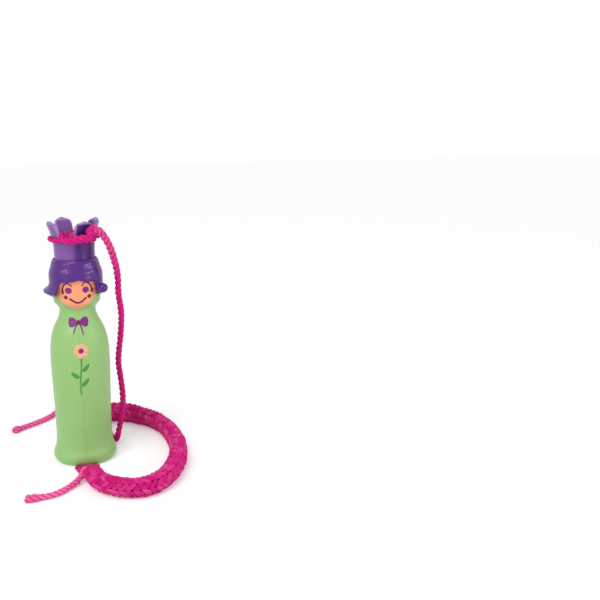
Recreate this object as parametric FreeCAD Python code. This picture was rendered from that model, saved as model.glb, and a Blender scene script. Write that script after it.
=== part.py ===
"""A doll-shaped spool knitter that makes i-cord, with the yarn on its pegs and the cord it has made.

The doll stands on the rim of its skirt. The origin is the middle of that rim on the floor, +Z is up
and the doll looks along -Y. Lengths are in millimetres. Each piece is one STEP file in parts/.
"""

import FreeCAD, Part
import math
import os
from FreeCAD import Vector

# Body: a hollow bell with a waist at the neck, moulded as a left and a right shell.
# A lean is the profile's angle from upright, positive where it closes in towards the top.
FLOOR_RADIUS = 16.6
FLOOR_LEAN = -52.0
HEM_RADIUS = 19.2
HEM_HEIGHT = 4.6
HEM_TOP_RADIUS = 17.5
HEM_TOP_HEIGHT = 10.4
HEM_TOP_LEAN = 10.0
SKIRT_RADIUS = 16.9
SKIRT_HEIGHT = 25.0
HIP_RADIUS = 17.7
HIP_HEIGHT = 64.0
SHOULDER_RADIUS = 15.8
SHOULDER_HEIGHT = 82.0
SHOULDER_LEAN = 15.0
NECK_RADIUS = 10.7
NECK_RISE = 13.7
NECK_HEIGHT = SHOULDER_HEIGHT + NECK_RISE
HEAD_RADIUS = 13.9
HOOD_RISE = 6.3
HOOD_HEIGHT = NECK_HEIGHT + HOOD_RISE
HEAD_TOP = 118.0
HEAD_EDGE_RADIUS = 1.5
BODY_WALL = 2.0
RIM_WIDTH = 2.2
SHELF_THICKNESS = 3.0

# Pins and sockets that line up the two shells, in bosses along the seam.
BOSS_RADIUS = 2.2
BOSS_LENGTH = 4.5
BOSS_INSET = 1.0
PIN_RADIUS = 1.1
PIN_LENGTH = 3.0
PIN_CLEARANCE = 0.1
PIN_END_GAP = 0.4
FRONT_PIN_HEIGHTS = (10.5, 72.0)
BACK_PIN_HEIGHTS = (34.0, 76.0)

# Hair cap: a moulded bob over the head, which also holds the crown's flange down.
# A rise is measured up from the top of the head, and a drop down from it.
HAIR_RISE = 9.2
HAIR_TOP = HEAD_TOP + HAIR_RISE
HAIR_TOP_RADIUS = 12.9
HAIR_TOP_LEAN = 40.0
HAIR_TOP_EDGE = 0.4
HAIR_CROWN_RADIUS = 15.0
HAIR_CROWN_RISE = 3.0
HAIR_CROWN_HEIGHT = HEAD_TOP + HAIR_CROWN_RISE
HAIR_CROWN_LEAN = 22.0
HAIR_RADIUS = 15.9
HAIR_SIDE_DROP = 5.4
HAIR_SIDE_HEIGHT = HEAD_TOP - HAIR_SIDE_DROP
FLIP_START_DROP = 7.4
FLIP_START = HEAD_TOP - FLIP_START_DROP
FLIP_ROOT_RISE = 2.0
FLIP_RADIUS = 19.1
FLIP_DROP = 10.4
FLIP_HEIGHT = HEAD_TOP - FLIP_DROP
FLIP_SLOPE = -38.0
FLIP_UNDER_SLOPE = 215.0
FLIP_BOTTOM_DROP = 13.6
FLIP_BOTTOM = HEAD_TOP - FLIP_BOTTOM_DROP
FLIP_TIP_RADIUS = 1.1
FLIP_SHIFT = 0.5
HEAD_FIT = 0.1
COLLAR_CLEARANCE = 0.35
CURL_RADIUS = 3.0
CURL_X = 15.4
CURL_Y = -9.6
CURL_DROP = 8.7
CURL_PLACE = Vector(CURL_X, CURL_Y, HEAD_TOP - CURL_DROP)
FRINGE_DROP = 4.2
FRINGE_HEIGHT = HEAD_TOP - FRINGE_DROP
FRINGE_PART_X = 1.3
FRINGE_PART_RISE = 1.5
FRINGE_SWELL = -0.5
FACE_TOP_LEFT = -9.8
FACE_TOP_RIGHT = 10.9
FACE_FOOT_DROP = 3.0
FACE_FOOT_LEFT = -14.0
FACE_FOOT_RIGHT = 13.4

# Peg crown: a tube that turns in the head, flares and opens into four petal-shaped pegs.
# Its rises are measured up from the top of the hair.
PEG_COUNT = 4
CROWN_ANGLE = 71.0
TUBE_RADIUS = 12.0
TUBE_WALL = 2.1
FLARE_RISE = 3.7
FLARE_START = HAIR_TOP + FLARE_RISE
COLLAR_RISE = 10.1
PEG_FOOT_HEIGHT = HAIR_TOP + COLLAR_RISE
PEG_LENGTH = 12.7
PEG_TOP_HEIGHT = PEG_FOOT_HEIGHT + PEG_LENGTH
PEG_FLARE = 4.8
PEG_TOP_RADIUS = TUBE_RADIUS + PEG_FLARE
PEG_WIDTH = 11.0
PEG_CORNER_RADIUS = 3.4
PEG_TOP_CROWNING = 0.8
PEG_EDGE_RADIUS = 0.85
SLOT_CORNER_RADIUS = 1.0
FLANGE_WIDTH = 1.4
FLANGE_RADIUS = TUBE_RADIUS + FLANGE_WIDTH
FLANGE_THICKNESS = 1.8
BORE_RADIUS = 7.4
SPIGOT_WALL = 1.9
SPIGOT_RADIUS = BORE_RADIUS + SPIGOT_WALL
SPIGOT_LENGTH = 8.0
CONE_HEIGHT = 6.0
RUNNING_CLEARANCE = 0.1
END_CLEARANCE = 0.3

# Yarn and cord. A rise or a drop is measured from the foot of the pegs.
YARN_DIAMETER = 3.5
CORD_DIAMETER = 11.4
YARN_CLEARANCE = 0.25
SWEPT_MARGIN = 2.0
SWEPT_RADIUS = PEG_TOP_RADIUS + SWEPT_MARGIN
SWEPT_FLOOR_GAP = 1.0
SWEPT_FLOOR = HAIR_TOP + SWEPT_FLOOR_GAP
SWEPT_GAP = 0.3
LOW_STITCH_RISE = 1.9
LOW_STITCH_HEIGHT = PEG_FOOT_HEIGHT + LOW_STITCH_RISE
HIGH_STITCH_RISE = 4.6
HIGH_STITCH_HEIGHT = PEG_FOOT_HEIGHT + HIGH_STITCH_RISE
FUNNEL_TOP_RISE = 3.6
FUNNEL_TOP = PEG_FOOT_HEIGHT + FUNNEL_TOP_RISE
FUNNEL_BEND_DROP = 8.3
FUNNEL_BEND = PEG_FOOT_HEIGHT - FUNNEL_BEND_DROP
FUNNEL_WALL = 1.8
FUNNEL_DEPTH = 5.5
FUNNEL_FOOT = HEAD_TOP - FUNNEL_DEPTH

# Arched outlet at the back of the skirt, where the finished cord leaves.
OUTLET_CLEARANCE = 0.9
OUTLET_DEPTH = 12.0
CORD_EXIT_Y = 18.2
CORD_END_Y = -19.8
CORD_HEIGHT = 5.8

# Routes, point by point: straight runs that tangent arcs join.
INNER_CORD_ROUTE = [
    (0.0, 0.0, FUNNEL_FOOT - END_CLEARANCE),
    (0.0, 0.4, 86.0),
    (0.0, -1.4, 62.0),
    (0.0, -6.0, 41.0),
    (0.0, -8.3, 27.0),
    (0.0, -7.5, 16.8),
    (0.0, -2.2, 9.0),
    (0.0, 7.0, CORD_HEIGHT),
    (0.0, CORD_EXIT_Y, CORD_HEIGHT),
]
I_CORD_ROUTE = [
    (0.0, CORD_EXIT_Y, CORD_HEIGHT),
    (0.0, 30.2, CORD_HEIGHT),
    (2.5, 45.1, CORD_HEIGHT),
    (7.4, 54.4, CORD_HEIGHT),
    (15.8, 60.7, CORD_HEIGHT),
    (26.1, 62.5, CORD_HEIGHT),
    (36.0, 59.1, CORD_HEIGHT),
    (44.0, 51.6, CORD_HEIGHT),
    (50.5, 40.3, CORD_HEIGHT),
    (54.8, 26.0, CORD_HEIGHT),
    (57.4, 8.5, CORD_HEIGHT),
    (58.0, -10.0, CORD_HEIGHT),
    (56.4, -26.6, CORD_HEIGHT),
    (53.0, -42.5, CORD_HEIGHT),
    (47.6, -56.4, CORD_HEIGHT),
    (40.0, -64.6, CORD_HEIGHT),
    (30.2, -68.6, CORD_HEIGHT),
    (20.2, -68.4, CORD_HEIGHT),
    (11.4, -63.6, CORD_HEIGHT),
    (5.4, -55.0, CORD_HEIGHT),
    (2.0, -43.5, CORD_HEIGHT),
    (0.7, -31.5, CORD_HEIGHT),
    (0.5, CORD_END_Y, CORD_HEIGHT),
]
CAST_ON_TAIL_ROUTE = [
    (-3.4, -34.5, 7.0),
    (-6.6, -41.5, 3.0),
    (-9.6, -50.5, 1.9),
    (-15.0, -58.0, 1.85),
    (-22.6, -62.6, 1.85),
    (-33.4, -62.4, 1.85),
]
YARN_ROUTE = [
    (3.6, -15.4, PEG_FOOT_HEIGHT + 5.2),
    (12.6, -14.0, PEG_FOOT_HEIGHT + 8.7),
    (19.4, -10.3, PEG_FOOT_HEIGHT + 3.9),
    (21.8, -8.2, PEG_FOOT_HEIGHT - 4.7),
    (23.2, -5.0, 123.0),
    (24.4, -2.0, 112.4),
    (24.0, 1.0, 102.0),
    (26.2, 4.2, 90.0),
    (25.0, 7.8, 74.0),
    (22.8, 11.0, 58.0),
    (24.6, 14.0, 42.0),
    (25.2, 17.4, 28.0),
    (23.2, 20.8, 16.0),
    (19.4, 26.4, 7.4),
    (15.0, 35.6, 6.2),
    (11.6, 44.6, 12.4),
    (8.8, 53.0, 17.4),
    (6.4, 62.2, 17.4),
    (6.0, 71.4, 11.4),
    (6.6, 79.6, 5.0),
    (6.4, 87.6, 1.9),
    (2.1, 94.9, 1.85),
    (-6.0, 97.7, 1.85),
    (-14.1, 94.9, 1.85),
    (-18.4, 87.4, 1.85),
    (-21.6, 78.6, 1.85),
    (-28.6, 69.4, 1.85),
    (-37.2, 61.6, 1.85),
    (-45.7, 54.1, 1.85),
]

# How the shapes are made.
ARC_SHARE = 0.45
STRAIGHT_TURN = math.radians(0.5)
HANDLE_SHARE = 0.38
UPRIGHT = 90.0
EDGE_MARGIN = 0.05
CUT_MARGIN = 1.0
AXIS = Vector(0, 0, 1)
OPENING_REACH = 2 * FLIP_RADIUS


def at(radius, height):
    """A profile point, at a radius from the doll's axis and a height."""
    return Vector(radius, 0, height)


def ease(start, start_angle, end, end_angle):
    """A smooth profile edge that leaves start and reaches end at angles from +X, in degrees."""
    handle = HANDLE_SHARE * (end - start).Length
    leaving = at(math.cos(math.radians(start_angle)), math.sin(math.radians(start_angle)))
    arriving = at(math.cos(math.radians(end_angle)), math.sin(math.radians(end_angle)))
    curve = Part.BezierCurve()
    curve.setPoles([start, start + leaving * handle, end - arriving * handle, end])
    return curve.toShape()


def rising(stations):
    """Smooth edges up through stations, each a point and its lean."""
    edges = []
    for (low, low_lean), (high, high_lean) in zip(stations, stations[1:]):
        edges.append(ease(low, UPRIGHT + low_lean, high, UPRIGHT + high_lean))
    return edges


def line(first, second):
    """A straight edge between two points."""
    return Part.LineSegment(first, second).toShape()


def lines(points):
    """Straight edges from each point to the next."""
    return [line(a, b) for a, b in zip(points, points[1:])]


def revolve(edges, centre=Vector(0, 0, 0)):
    """The solid that a closed profile of edges sweeps about the vertical axis through centre."""
    face = Part.Face(Part.Wire(Part.__sortEdges__(edges)))
    return face.revolve(centre, AXIS, 360)


def turned(shape, degrees):
    """A copy of the shape, turned about the doll's axis."""
    copy = shape.copy()
    copy.rotate(Vector(0, 0, 0), AXIS, degrees)
    return copy


def one_solid(shape):
    """The shape's only solid, with faces and edges that belong together merged."""
    clean = shape.removeSplitter()
    if len(clean.Solids) != 1:
        raise ValueError(f"expected one solid and got {len(clean.Solids)}")
    return clean.Solids[0]


def export(name, shape):
    """Writes one node and says how large it is."""
    if not shape.isValid():
        raise ValueError(f"{name} isn't a valid shape")
    shape.exportStep(f"parts/{name}.step")
    print(f"{name}: {len(shape.Solids)} solid(s), {shape.Volume:.0f} mm3")


# ---------------------------------------------------------------- body shells


def body_stations():
    """Outer profile of the skirt, waist and hood from the floor to the head, each with its lean."""
    return [
        (at(FLOOR_RADIUS, 0), FLOOR_LEAN),
        (at(HEM_RADIUS, HEM_HEIGHT), 0),
        (at(HEM_TOP_RADIUS, HEM_TOP_HEIGHT), HEM_TOP_LEAN),
        (at(SKIRT_RADIUS, SKIRT_HEIGHT), 0),
        (at(HIP_RADIUS, HIP_HEIGHT), 0),
        (at(SHOULDER_RADIUS, SHOULDER_HEIGHT), SHOULDER_LEAN),
        (at(NECK_RADIUS, NECK_HEIGHT), 0),
        (at(HEAD_RADIUS, HOOD_HEIGHT), 0),
    ]


def inner_stations():
    """Inner profile: each outer station moved in by the wall, square to the outside."""
    stations = [(at(FLOOR_RADIUS - RIM_WIDTH, 0), FLOOR_LEAN)]
    for point, lean in body_stations()[1:]:
        turn = math.radians(lean)
        stations.append((point - at(math.cos(turn), math.sin(turn)) * BODY_WALL, lean))
    return stations


def inner_radius(height):
    """Radius of the hollow at a height on the seam."""
    level = line(at(0, height), at(2 * HEM_RADIUS, height))
    profile = Part.Wire(rising(inner_stations()))
    return profile.distToShape(level)[1][0][0].x


def filled_body():
    """The outside of both shells together, filled."""
    edge_start = at(HEAD_RADIUS, HEAD_TOP - HEAD_EDGE_RADIUS)
    edge_end = at(HEAD_RADIUS - HEAD_EDGE_RADIUS, HEAD_TOP)
    slack = HEAD_EDGE_RADIUS * (1 - math.cos(math.pi / 4))
    edge_middle = at(HEAD_RADIUS - slack, HEAD_TOP - slack)
    return revolve(
        rising(body_stations())
        + [
            line(at(HEAD_RADIUS, HOOD_HEIGHT), edge_start),
            Part.Arc(edge_start, edge_middle, edge_end).toShape(),
        ]
        + lines([edge_end, at(0, HEAD_TOP), at(0, 0), at(FLOOR_RADIUS, 0)])
    )


def cavity():
    """The hollow of the body, up to the shelf under the top of the head."""
    stations = inner_stations()
    foot = stations[0][0]
    top = stations[-1][0]
    ceiling = HEAD_TOP - SHELF_THICKNESS
    return revolve(
        rising(stations) + lines([top, at(top.x, ceiling), at(0, ceiling), at(0, 0), foot])
    )


def outlet():
    """An arch through the back of the skirt, a little larger than the cord."""
    radius = CORD_DIAMETER / 2 + OUTLET_CLEARANCE
    inner_end = HEM_RADIUS + CUT_MARGIN - OUTLET_DEPTH
    arch = Part.makeCylinder(
        radius, OUTLET_DEPTH, Vector(0, inner_end, CORD_HEIGHT), Vector(0, 1, 0)
    )
    foot = Part.makeBox(
        2 * radius, OUTLET_DEPTH, CORD_HEIGHT + CUT_MARGIN, Vector(-radius, inner_end, -CUT_MARGIN)
    )
    return arch.fuse(foot)


def half_space(side):
    """Everything on one side of the seam: -1 is the doll's right-hand side seen from the front."""
    size = 4 * HEM_RADIUS
    corner = Vector(-size if side < 0 else 0, -size / 2, -CUT_MARGIN)
    return Part.makeBox(size, size, HEAD_TOP + 2 * CUT_MARGIN, corner)


def pin_places():
    """Where the seam's pins stand, as (y, z) in the plane of the seam."""
    places = [(-(inner_radius(z) - BOSS_INSET), z) for z in FRONT_PIN_HEIGHTS]
    return places + [(inner_radius(z) - BOSS_INSET, z) for z in BACK_PIN_HEIGHTS]


def seam_cylinder(place, radius, start, end):
    """A round bar across the seam, from x = start to x = end."""
    return Part.makeCylinder(radius, end - start, Vector(start, *place), Vector(1, 0, 0))


def body_shells():
    """The left and right shells with their bosses, pins and sockets."""
    filled = filled_body()
    spigot_hole = Part.makeCylinder(
        SPIGOT_RADIUS + RUNNING_CLEARANCE,
        SHELF_THICKNESS + 2 * CUT_MARGIN,
        Vector(0, 0, HEAD_TOP - SHELF_THICKNESS - CUT_MARGIN),
    )
    wall = filled.cut(cavity()).cut(spigot_hole)
    shells = {}
    for side in (-1, 1):
        shell = wall.common(half_space(side))
        for place in pin_places():
            ends = sorted((0, side * BOSS_LENGTH))
            boss = seam_cylinder(place, BOSS_RADIUS, *ends).common(filled)
            shell = shell.fuse(boss)
            if side < 0:
                shell = shell.fuse(seam_cylinder(place, PIN_RADIUS, -CUT_MARGIN, PIN_LENGTH))
            else:
                depth = PIN_LENGTH + PIN_END_GAP
                socket = seam_cylinder(place, PIN_RADIUS + PIN_CLEARANCE, -CUT_MARGIN, depth)
                shell = shell.cut(socket)
        shells[side] = one_solid(shell.cut(outlet()))
    return shells


# ---------------------------------------------------------------- peg crown


def crown_bottom():
    """Underside of the crown's flange, a running gap above the head."""
    return HEAD_TOP + END_CLEARANCE


def peg_angle(number):
    """Where a peg stands before the crown is turned: half a pitch off the crown's own zero."""
    return (number + 0.5) * 360 / PEG_COUNT


def flare_arcs():
    """Outer and inner arcs of the pegs, which leave the tube upright and lean outwards.

    They run on a wall's thickness past the top, which the outline of the pegs then trims.
    """
    foot = at(TUBE_RADIUS, FLARE_START)
    top = at(PEG_TOP_RADIUS, PEG_TOP_HEIGHT)
    chord = top - foot
    radius = chord.dot(chord) / (2 * chord.x)
    centre = foot + Vector(radius, 0, 0)
    half_turn = math.asin((chord.z + TUBE_WALL) / radius) / 2

    def arc(distance):
        points = []
        for share in (0, 1, 2):
            turn = share * half_turn
            points.append(centre + at(-math.cos(turn), math.sin(turn)) * distance)
        return points

    return arc(radius), arc(radius + TUBE_WALL)


def peg_outline():
    """One peg seen from outside: a broad tab with a rounded top and soft corners at its foot."""
    half = PEG_WIDTH / 2
    corner = PEG_CORNER_RADIUS
    foot = SLOT_CORNER_RADIUS
    low = PEG_FOOT_HEIGHT
    side_top = PEG_TOP_HEIGHT - PEG_TOP_CROWNING - corner
    slack = corner * (1 - math.cos(math.pi / 4))
    foot_slack = foot * (1 - math.cos(math.pi / 4))

    def flat(across, height):
        return Vector(0, across, height)

    edges = []
    for side in (-1, 1):
        edges.append(
            Part.Arc(
                flat(side * (half + foot), low),
                flat(side * (half + foot_slack), low + foot_slack),
                flat(side * half, low + foot),
            ).toShape()
        )
        edges.append(line(flat(side * half, low + foot), flat(side * half, side_top)))
        edges.append(
            Part.Arc(
                flat(side * half, side_top),
                flat(side * (half - slack), side_top + corner - slack),
                flat(side * (half - corner), side_top + corner),
            ).toShape()
        )
        edges.append(
            line(flat(side * (half + foot), low), flat(side * (half + foot), low - 2 * foot))
        )
    edges.append(
        Part.Arc(
            flat(-(half - corner), side_top + corner),
            flat(0, PEG_TOP_HEIGHT),
            flat(half - corner, side_top + corner),
        ).toShape()
    )
    edges.append(line(flat(-(half + foot), low - 2 * foot), flat(half + foot, low - 2 * foot)))
    return Part.Face(Part.Wire(Part.__sortEdges__(edges)))


def peg_crown():
    """The turning crown: spigot, flange, tube and pegs in one moulding."""
    outer, inner = flare_arcs()
    bottom = crown_bottom()
    flange_top = bottom + FLANGE_THICKNESS
    bore_end = at(BORE_RADIUS, bottom)
    cone_end = at(TUBE_RADIUS - TUBE_WALL, bottom + CONE_HEIGHT)
    profile = (
        lines(
            [
                inner[0],
                cone_end,
                bore_end,
                at(BORE_RADIUS, bottom - SPIGOT_LENGTH),
                at(SPIGOT_RADIUS, bottom - SPIGOT_LENGTH),
                at(SPIGOT_RADIUS, bottom),
                at(FLANGE_RADIUS, bottom),
                at(FLANGE_RADIUS, flange_top),
                at(TUBE_RADIUS, flange_top),
                outer[0],
            ]
        )
        + [Part.Arc(*outer).toShape(), line(outer[2], inner[2]), Part.Arc(*inner).toShape()]
    )
    reach = 2 * PEG_TOP_RADIUS
    slots = Part.makeCylinder(reach, PEG_TOP_HEIGHT, Vector(0, 0, PEG_FOOT_HEIGHT))
    tab = peg_outline().extrude(Vector(reach, 0, 0))
    for number in range(PEG_COUNT):
        slots = slots.cut(turned(tab, peg_angle(number)))
    blank = turned(revolve(profile), peg_angle(0))
    crown = one_solid(blank.cut(slots))
    rim = [edge for edge in crown.Edges if edge.BoundBox.ZMin > PEG_FOOT_HEIGHT - EDGE_MARGIN]
    return turned(crown.makeFillet(PEG_EDGE_RADIUS, rim), CROWN_ANGLE)


# ---------------------------------------------------------------- hair cap


def hair_dome():
    """The dome, with the pocket for the crown's flange and the hole for its tube."""
    foot = at(HAIR_RADIUS, FLIP_START)
    side = at(HAIR_RADIUS, HAIR_SIDE_HEIGHT)
    top = at(HAIR_TOP_RADIUS, HAIR_TOP - HAIR_TOP_EDGE)
    dome = rising(
        [(side, 0), (at(HAIR_CROWN_RADIUS, HAIR_CROWN_HEIGHT), HAIR_CROWN_LEAN), (top, HAIR_TOP_LEAN)]
    )
    inside = HEAD_RADIUS + HEAD_FIT
    pocket = FLANGE_RADIUS + END_CLEARANCE
    pocket_top = crown_bottom() + FLANGE_THICKNESS + END_CLEARANCE
    hole = TUBE_RADIUS + COLLAR_CLEARANCE
    return revolve(
        [line(foot, side)]
        + dome
        + lines(
            [
                top,
                at(HAIR_TOP_RADIUS - HAIR_TOP_EDGE, HAIR_TOP),
                at(hole, HAIR_TOP),
                at(hole, pocket_top),
                at(pocket, pocket_top),
                at(pocket, HEAD_TOP),
                at(inside, HEAD_TOP),
                at(inside, FLIP_START),
                foot,
            ]
        )
    )


def hair_flip():
    """The hem of the bob, flipped outwards and set a little to one side."""
    root = at(HAIR_RADIUS - FLIP_SHIFT, FLIP_START + FLIP_ROOT_RISE)
    tip_top = at(FLIP_RADIUS - FLIP_TIP_RADIUS, FLIP_HEIGHT + FLIP_TIP_RADIUS)
    tip = at(FLIP_RADIUS, FLIP_HEIGHT)
    tip_foot = at(FLIP_RADIUS - FLIP_TIP_RADIUS, FLIP_HEIGHT - FLIP_TIP_RADIUS)
    hem = at(HEAD_RADIUS, FLIP_BOTTOM)
    inside = HEAD_RADIUS - 2 * FLIP_SHIFT
    flip = revolve(
        [
            ease(root, -UPRIGHT, tip_top, FLIP_SLOPE),
            Part.Arc(tip_top, tip, tip_foot).toShape(),
            ease(tip_foot, FLIP_UNDER_SLOPE, hem, 2 * UPRIGHT),
        ]
        + lines([hem, at(inside, FLIP_BOTTOM), at(inside, FLIP_START + FLIP_ROOT_RISE), root])
    )
    flip.translate(Vector(-FLIP_SHIFT, 0, 0))
    return flip


def face_opening():
    """A prism through the front of the hair: the fringe above, and a side edge on each hand."""
    foot = FLIP_BOTTOM - FACE_FOOT_DROP
    part = Vector(FRINGE_PART_X, 0, FRINGE_HEIGHT + FRINGE_PART_RISE)
    left = Vector(FACE_TOP_LEFT, 0, FRINGE_HEIGHT)
    right = Vector(FACE_TOP_RIGHT, 0, FRINGE_HEIGHT)
    swell = Vector(0, 0, FRINGE_SWELL)
    edges = [
        Part.Arc(left, (left + part) / 2 + swell, part).toShape(),
        Part.Arc(part, (part + right) / 2 + swell, right).toShape(),
    ] + lines([right, Vector(FACE_FOOT_RIGHT, 0, foot), Vector(FACE_FOOT_LEFT, 0, foot), left])
    return Part.Face(Part.Wire(Part.__sortEdges__(edges))).extrude(Vector(0, -OPENING_REACH, 0))


def hair_cap():
    """Dome, flipped hem and curl, open over the face."""
    head_room = Part.makeCylinder(
        HEAD_RADIUS + HEAD_FIT,
        HEAD_TOP - FLIP_BOTTOM + CUT_MARGIN,
        Vector(0, 0, FLIP_BOTTOM - CUT_MARGIN),
    )
    curl = Part.makeSphere(CURL_RADIUS, CURL_PLACE)
    cap = hair_dome().fuse(hair_flip().cut(head_room)).cut(face_opening())
    return one_solid(cap.fuse(curl.cut(head_room)))


# ---------------------------------------------------------------- yarn and cord


def tangent_path(points):
    """Straight runs joined by tangent arcs, with the radius of each arc and the path's length.

    The radius is ARC_SHARE of the shorter run beside a point, over the tangent of half the turn.
    """
    corners = [Vector(*point) for point in points]
    edges = []
    radii = []
    start = corners[0]
    for before, corner, after in zip(corners, corners[1:], corners[2:]):
        arriving = (corner - before).normalize()
        leaving = (after - corner).normalize()
        turn = arriving.getAngle(leaving)
        if turn < STRAIGHT_TURN:
            raise ValueError(f"three points of a route are in line at {corner}")
        shorter = min((corner - before).Length, (after - corner).Length)
        reach = ARC_SHARE * shorter
        radius = reach / math.tan(turn / 2)
        radii.append(radius)
        first = corner - arriving * reach
        last = corner + leaving * reach
        inward = (leaving - arriving).normalize()
        centre = corner + inward * (radius / math.cos(turn / 2))
        edges.append(line(start, first))
        edges.append(Part.Arc(first, centre - inward * radius, last).toShape())
        start = last
    edges.append(line(start, corners[-1]))
    return Part.Wire(edges), radii


def tube(name, points, diameter):
    """A plain round tube along a route, with its figures printed."""
    path, radii = tangent_path(points)
    first = Vector(*points[0])
    ahead = Vector(*points[1]) - first
    section = Part.Wire(Part.Circle(first, ahead, diameter / 2).toShape())
    solid = path.makePipeShell([section], True, False)
    expected = math.pi * diameter**2 / 4 * path.Length
    tightest = min(radii)
    print(
        f"{name}: length {path.Length:.1f}, tightest radius {tightest:.1f} "
        f"({tightest / diameter:.1f} diameters), volume over section by length "
        f"{solid.Volume / expected:.4f}, radii {[round(r, 1) for r in radii]}"
    )
    return solid


def stitch(number):
    """One loop of yarn round a peg's foot. Neighbours sit at two heights, as wound yarn does."""
    height = (LOW_STITCH_HEIGHT, HIGH_STITCH_HEIGHT)[number % 2]
    outer, inner = flare_arcs()
    outside = radius_at(outer, height) + YARN_CLEARANCE + YARN_DIAMETER / 2
    inside = radius_at(inner, height) - YARN_CLEARANCE - YARN_DIAMETER / 2
    middle = (outside + inside) / 2
    side = math.degrees(math.asin(PEG_WIDTH / 2 / middle))

    def strand(radius, start, centre, sweep):
        """Yarn that starts in the radial plane at an angle and turns about a vertical axis."""
        circle = Part.Circle(Vector(radius, 0, height), Vector(0, 1, 0), YARN_DIAMETER / 2)
        section = turned(Part.Face(Part.Wire(circle.toShape())), start)
        return section.revolve(centre, AXIS, sweep)

    centre = Vector(0, 0, 0)
    near_end = turned(Part.Vertex(middle, 0, 0), -side).Point
    far_end = turned(Part.Vertex(middle, 0, 0), side).Point
    loop = strand(outside, -side, centre, 2 * side)
    loop = loop.fuse(strand(outside, side, far_end, 180))
    loop = loop.fuse(strand(inside, -side, centre, 2 * side))
    loop = loop.fuse(strand(inside, -side, near_end, 180))
    return turned(one_solid(loop), CROWN_ANGLE + peg_angle(number))


def radius_at(arc, height):
    """Radius of a peg's face at a height."""
    level = line(at(0, height), at(2 * PEG_TOP_RADIUS, height))
    return Part.Arc(*arc).toShape().distToShape(level)[1][0][0].x


def swept_space(gap):
    """The round space that the crown and the yarn on it turn in, grown by a gap."""
    return Part.makeCylinder(
        SWEPT_RADIUS + gap, PEG_TOP_HEIGHT - SWEPT_FLOOR, Vector(0, 0, SWEPT_FLOOR)
    )


def knit_funnel():
    """The knitting inside the crown, drawn in from the pegs to the width of the cord."""
    bottom = crown_bottom()
    wide = TUBE_RADIUS - TUBE_WALL - YARN_CLEARANCE - YARN_DIAMETER
    throat = BORE_RADIUS - 4 * YARN_CLEARANCE
    cord = CORD_DIAMETER / 2
    loops = radius_at(flare_arcs()[1], LOW_STITCH_HEIGHT) - 2 * YARN_CLEARANCE - YARN_DIAMETER
    return revolve(
        lines(
            [
                at(0, FUNNEL_FOOT),
                at(cord, FUNNEL_FOOT),
                at(cord, bottom - YARN_DIAMETER),
                at(throat, bottom + CONE_HEIGHT - FUNNEL_WALL),
                at(wide, FUNNEL_BEND),
                at(loops, LOW_STITCH_HEIGHT),
                at(loops, FUNNEL_TOP),
                at(loops - FUNNEL_WALL, FUNNEL_TOP),
                at(loops - FUNNEL_WALL, LOW_STITCH_HEIGHT),
                at(wide - FUNNEL_WALL, FUNNEL_BEND),
                at(0, bottom + CONE_HEIGHT - FUNNEL_WALL),
                at(0, FUNNEL_FOOT),
            ]
        )
    )


def main():
    """Builds every piece and writes it to its STEP file."""
    os.makedirs("parts", exist_ok=True)
    shells = body_shells()
    export("body_left_shell", shells[-1])
    export("body_right_shell", shells[1])
    export("hair_cap", hair_cap())
    export("peg_crown", peg_crown())
    export("peg_stitches", Part.makeCompound([stitch(number) for number in range(PEG_COUNT)]))
    export("knit_funnel", knit_funnel())
    yarn = tube("yarn", YARN_ROUTE, YARN_DIAMETER)
    export("yarn_start", yarn.common(swept_space(0)))
    export("working_yarn", yarn.cut(swept_space(SWEPT_GAP)))
    export("inner_cord", tube("inner_cord", INNER_CORD_ROUTE, CORD_DIAMETER))
    export("i_cord", tube("i_cord", I_CORD_ROUTE, CORD_DIAMETER))
    export("cast_on_tail", tube("cast_on_tail", CAST_ON_TAIL_ROUTE, YARN_DIAMETER))


main()
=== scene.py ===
"""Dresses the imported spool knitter: plastics, paint, plied yarn and knitted cord.

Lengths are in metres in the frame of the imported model: the origin is the middle of the skirt's rim
on the floor, +Z is up and the doll looks along -Y.
"""

import logging
import math
from dataclasses import dataclass, field
from enum import Enum

import bmesh
import bpy
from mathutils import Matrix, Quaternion, Vector
from mathutils.bvhtree import BVHTree
from mathutils.geometry import delaunay_2d_cdt


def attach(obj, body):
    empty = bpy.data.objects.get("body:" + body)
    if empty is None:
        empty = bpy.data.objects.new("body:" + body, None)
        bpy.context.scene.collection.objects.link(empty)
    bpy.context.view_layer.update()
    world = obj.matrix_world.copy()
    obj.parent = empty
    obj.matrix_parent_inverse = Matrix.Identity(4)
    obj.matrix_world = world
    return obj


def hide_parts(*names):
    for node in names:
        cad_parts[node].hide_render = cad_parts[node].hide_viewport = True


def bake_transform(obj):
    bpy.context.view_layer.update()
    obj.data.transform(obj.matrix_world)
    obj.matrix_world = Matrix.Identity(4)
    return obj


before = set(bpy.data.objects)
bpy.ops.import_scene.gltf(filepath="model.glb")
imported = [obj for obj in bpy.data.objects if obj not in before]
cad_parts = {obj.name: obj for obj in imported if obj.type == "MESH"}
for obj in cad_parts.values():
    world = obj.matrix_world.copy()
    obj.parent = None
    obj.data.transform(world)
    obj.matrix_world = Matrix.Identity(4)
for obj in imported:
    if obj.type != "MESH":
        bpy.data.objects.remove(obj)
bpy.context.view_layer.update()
log = logging.getLogger("spool_knitter")

MM = 0.001
FULL_TURN = 2 * math.pi
IMAGE_SIDE = 600

YARN_DIAMETER = 0.0035
CORD_DIAMETER = 0.0114
GRAIN_DEPTH = 0.2 * MM
FIBRE_DEPTH = 0.25 * MM

Colour = tuple[float, float, float]
Point = tuple[float, float, float]
Flat = tuple[float, float]
Socket = bpy.types.NodeSocket
Node = bpy.types.Node
Tree = bpy.types.NodeTree
Material = bpy.types.Material
Piece = bpy.types.Object


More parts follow.
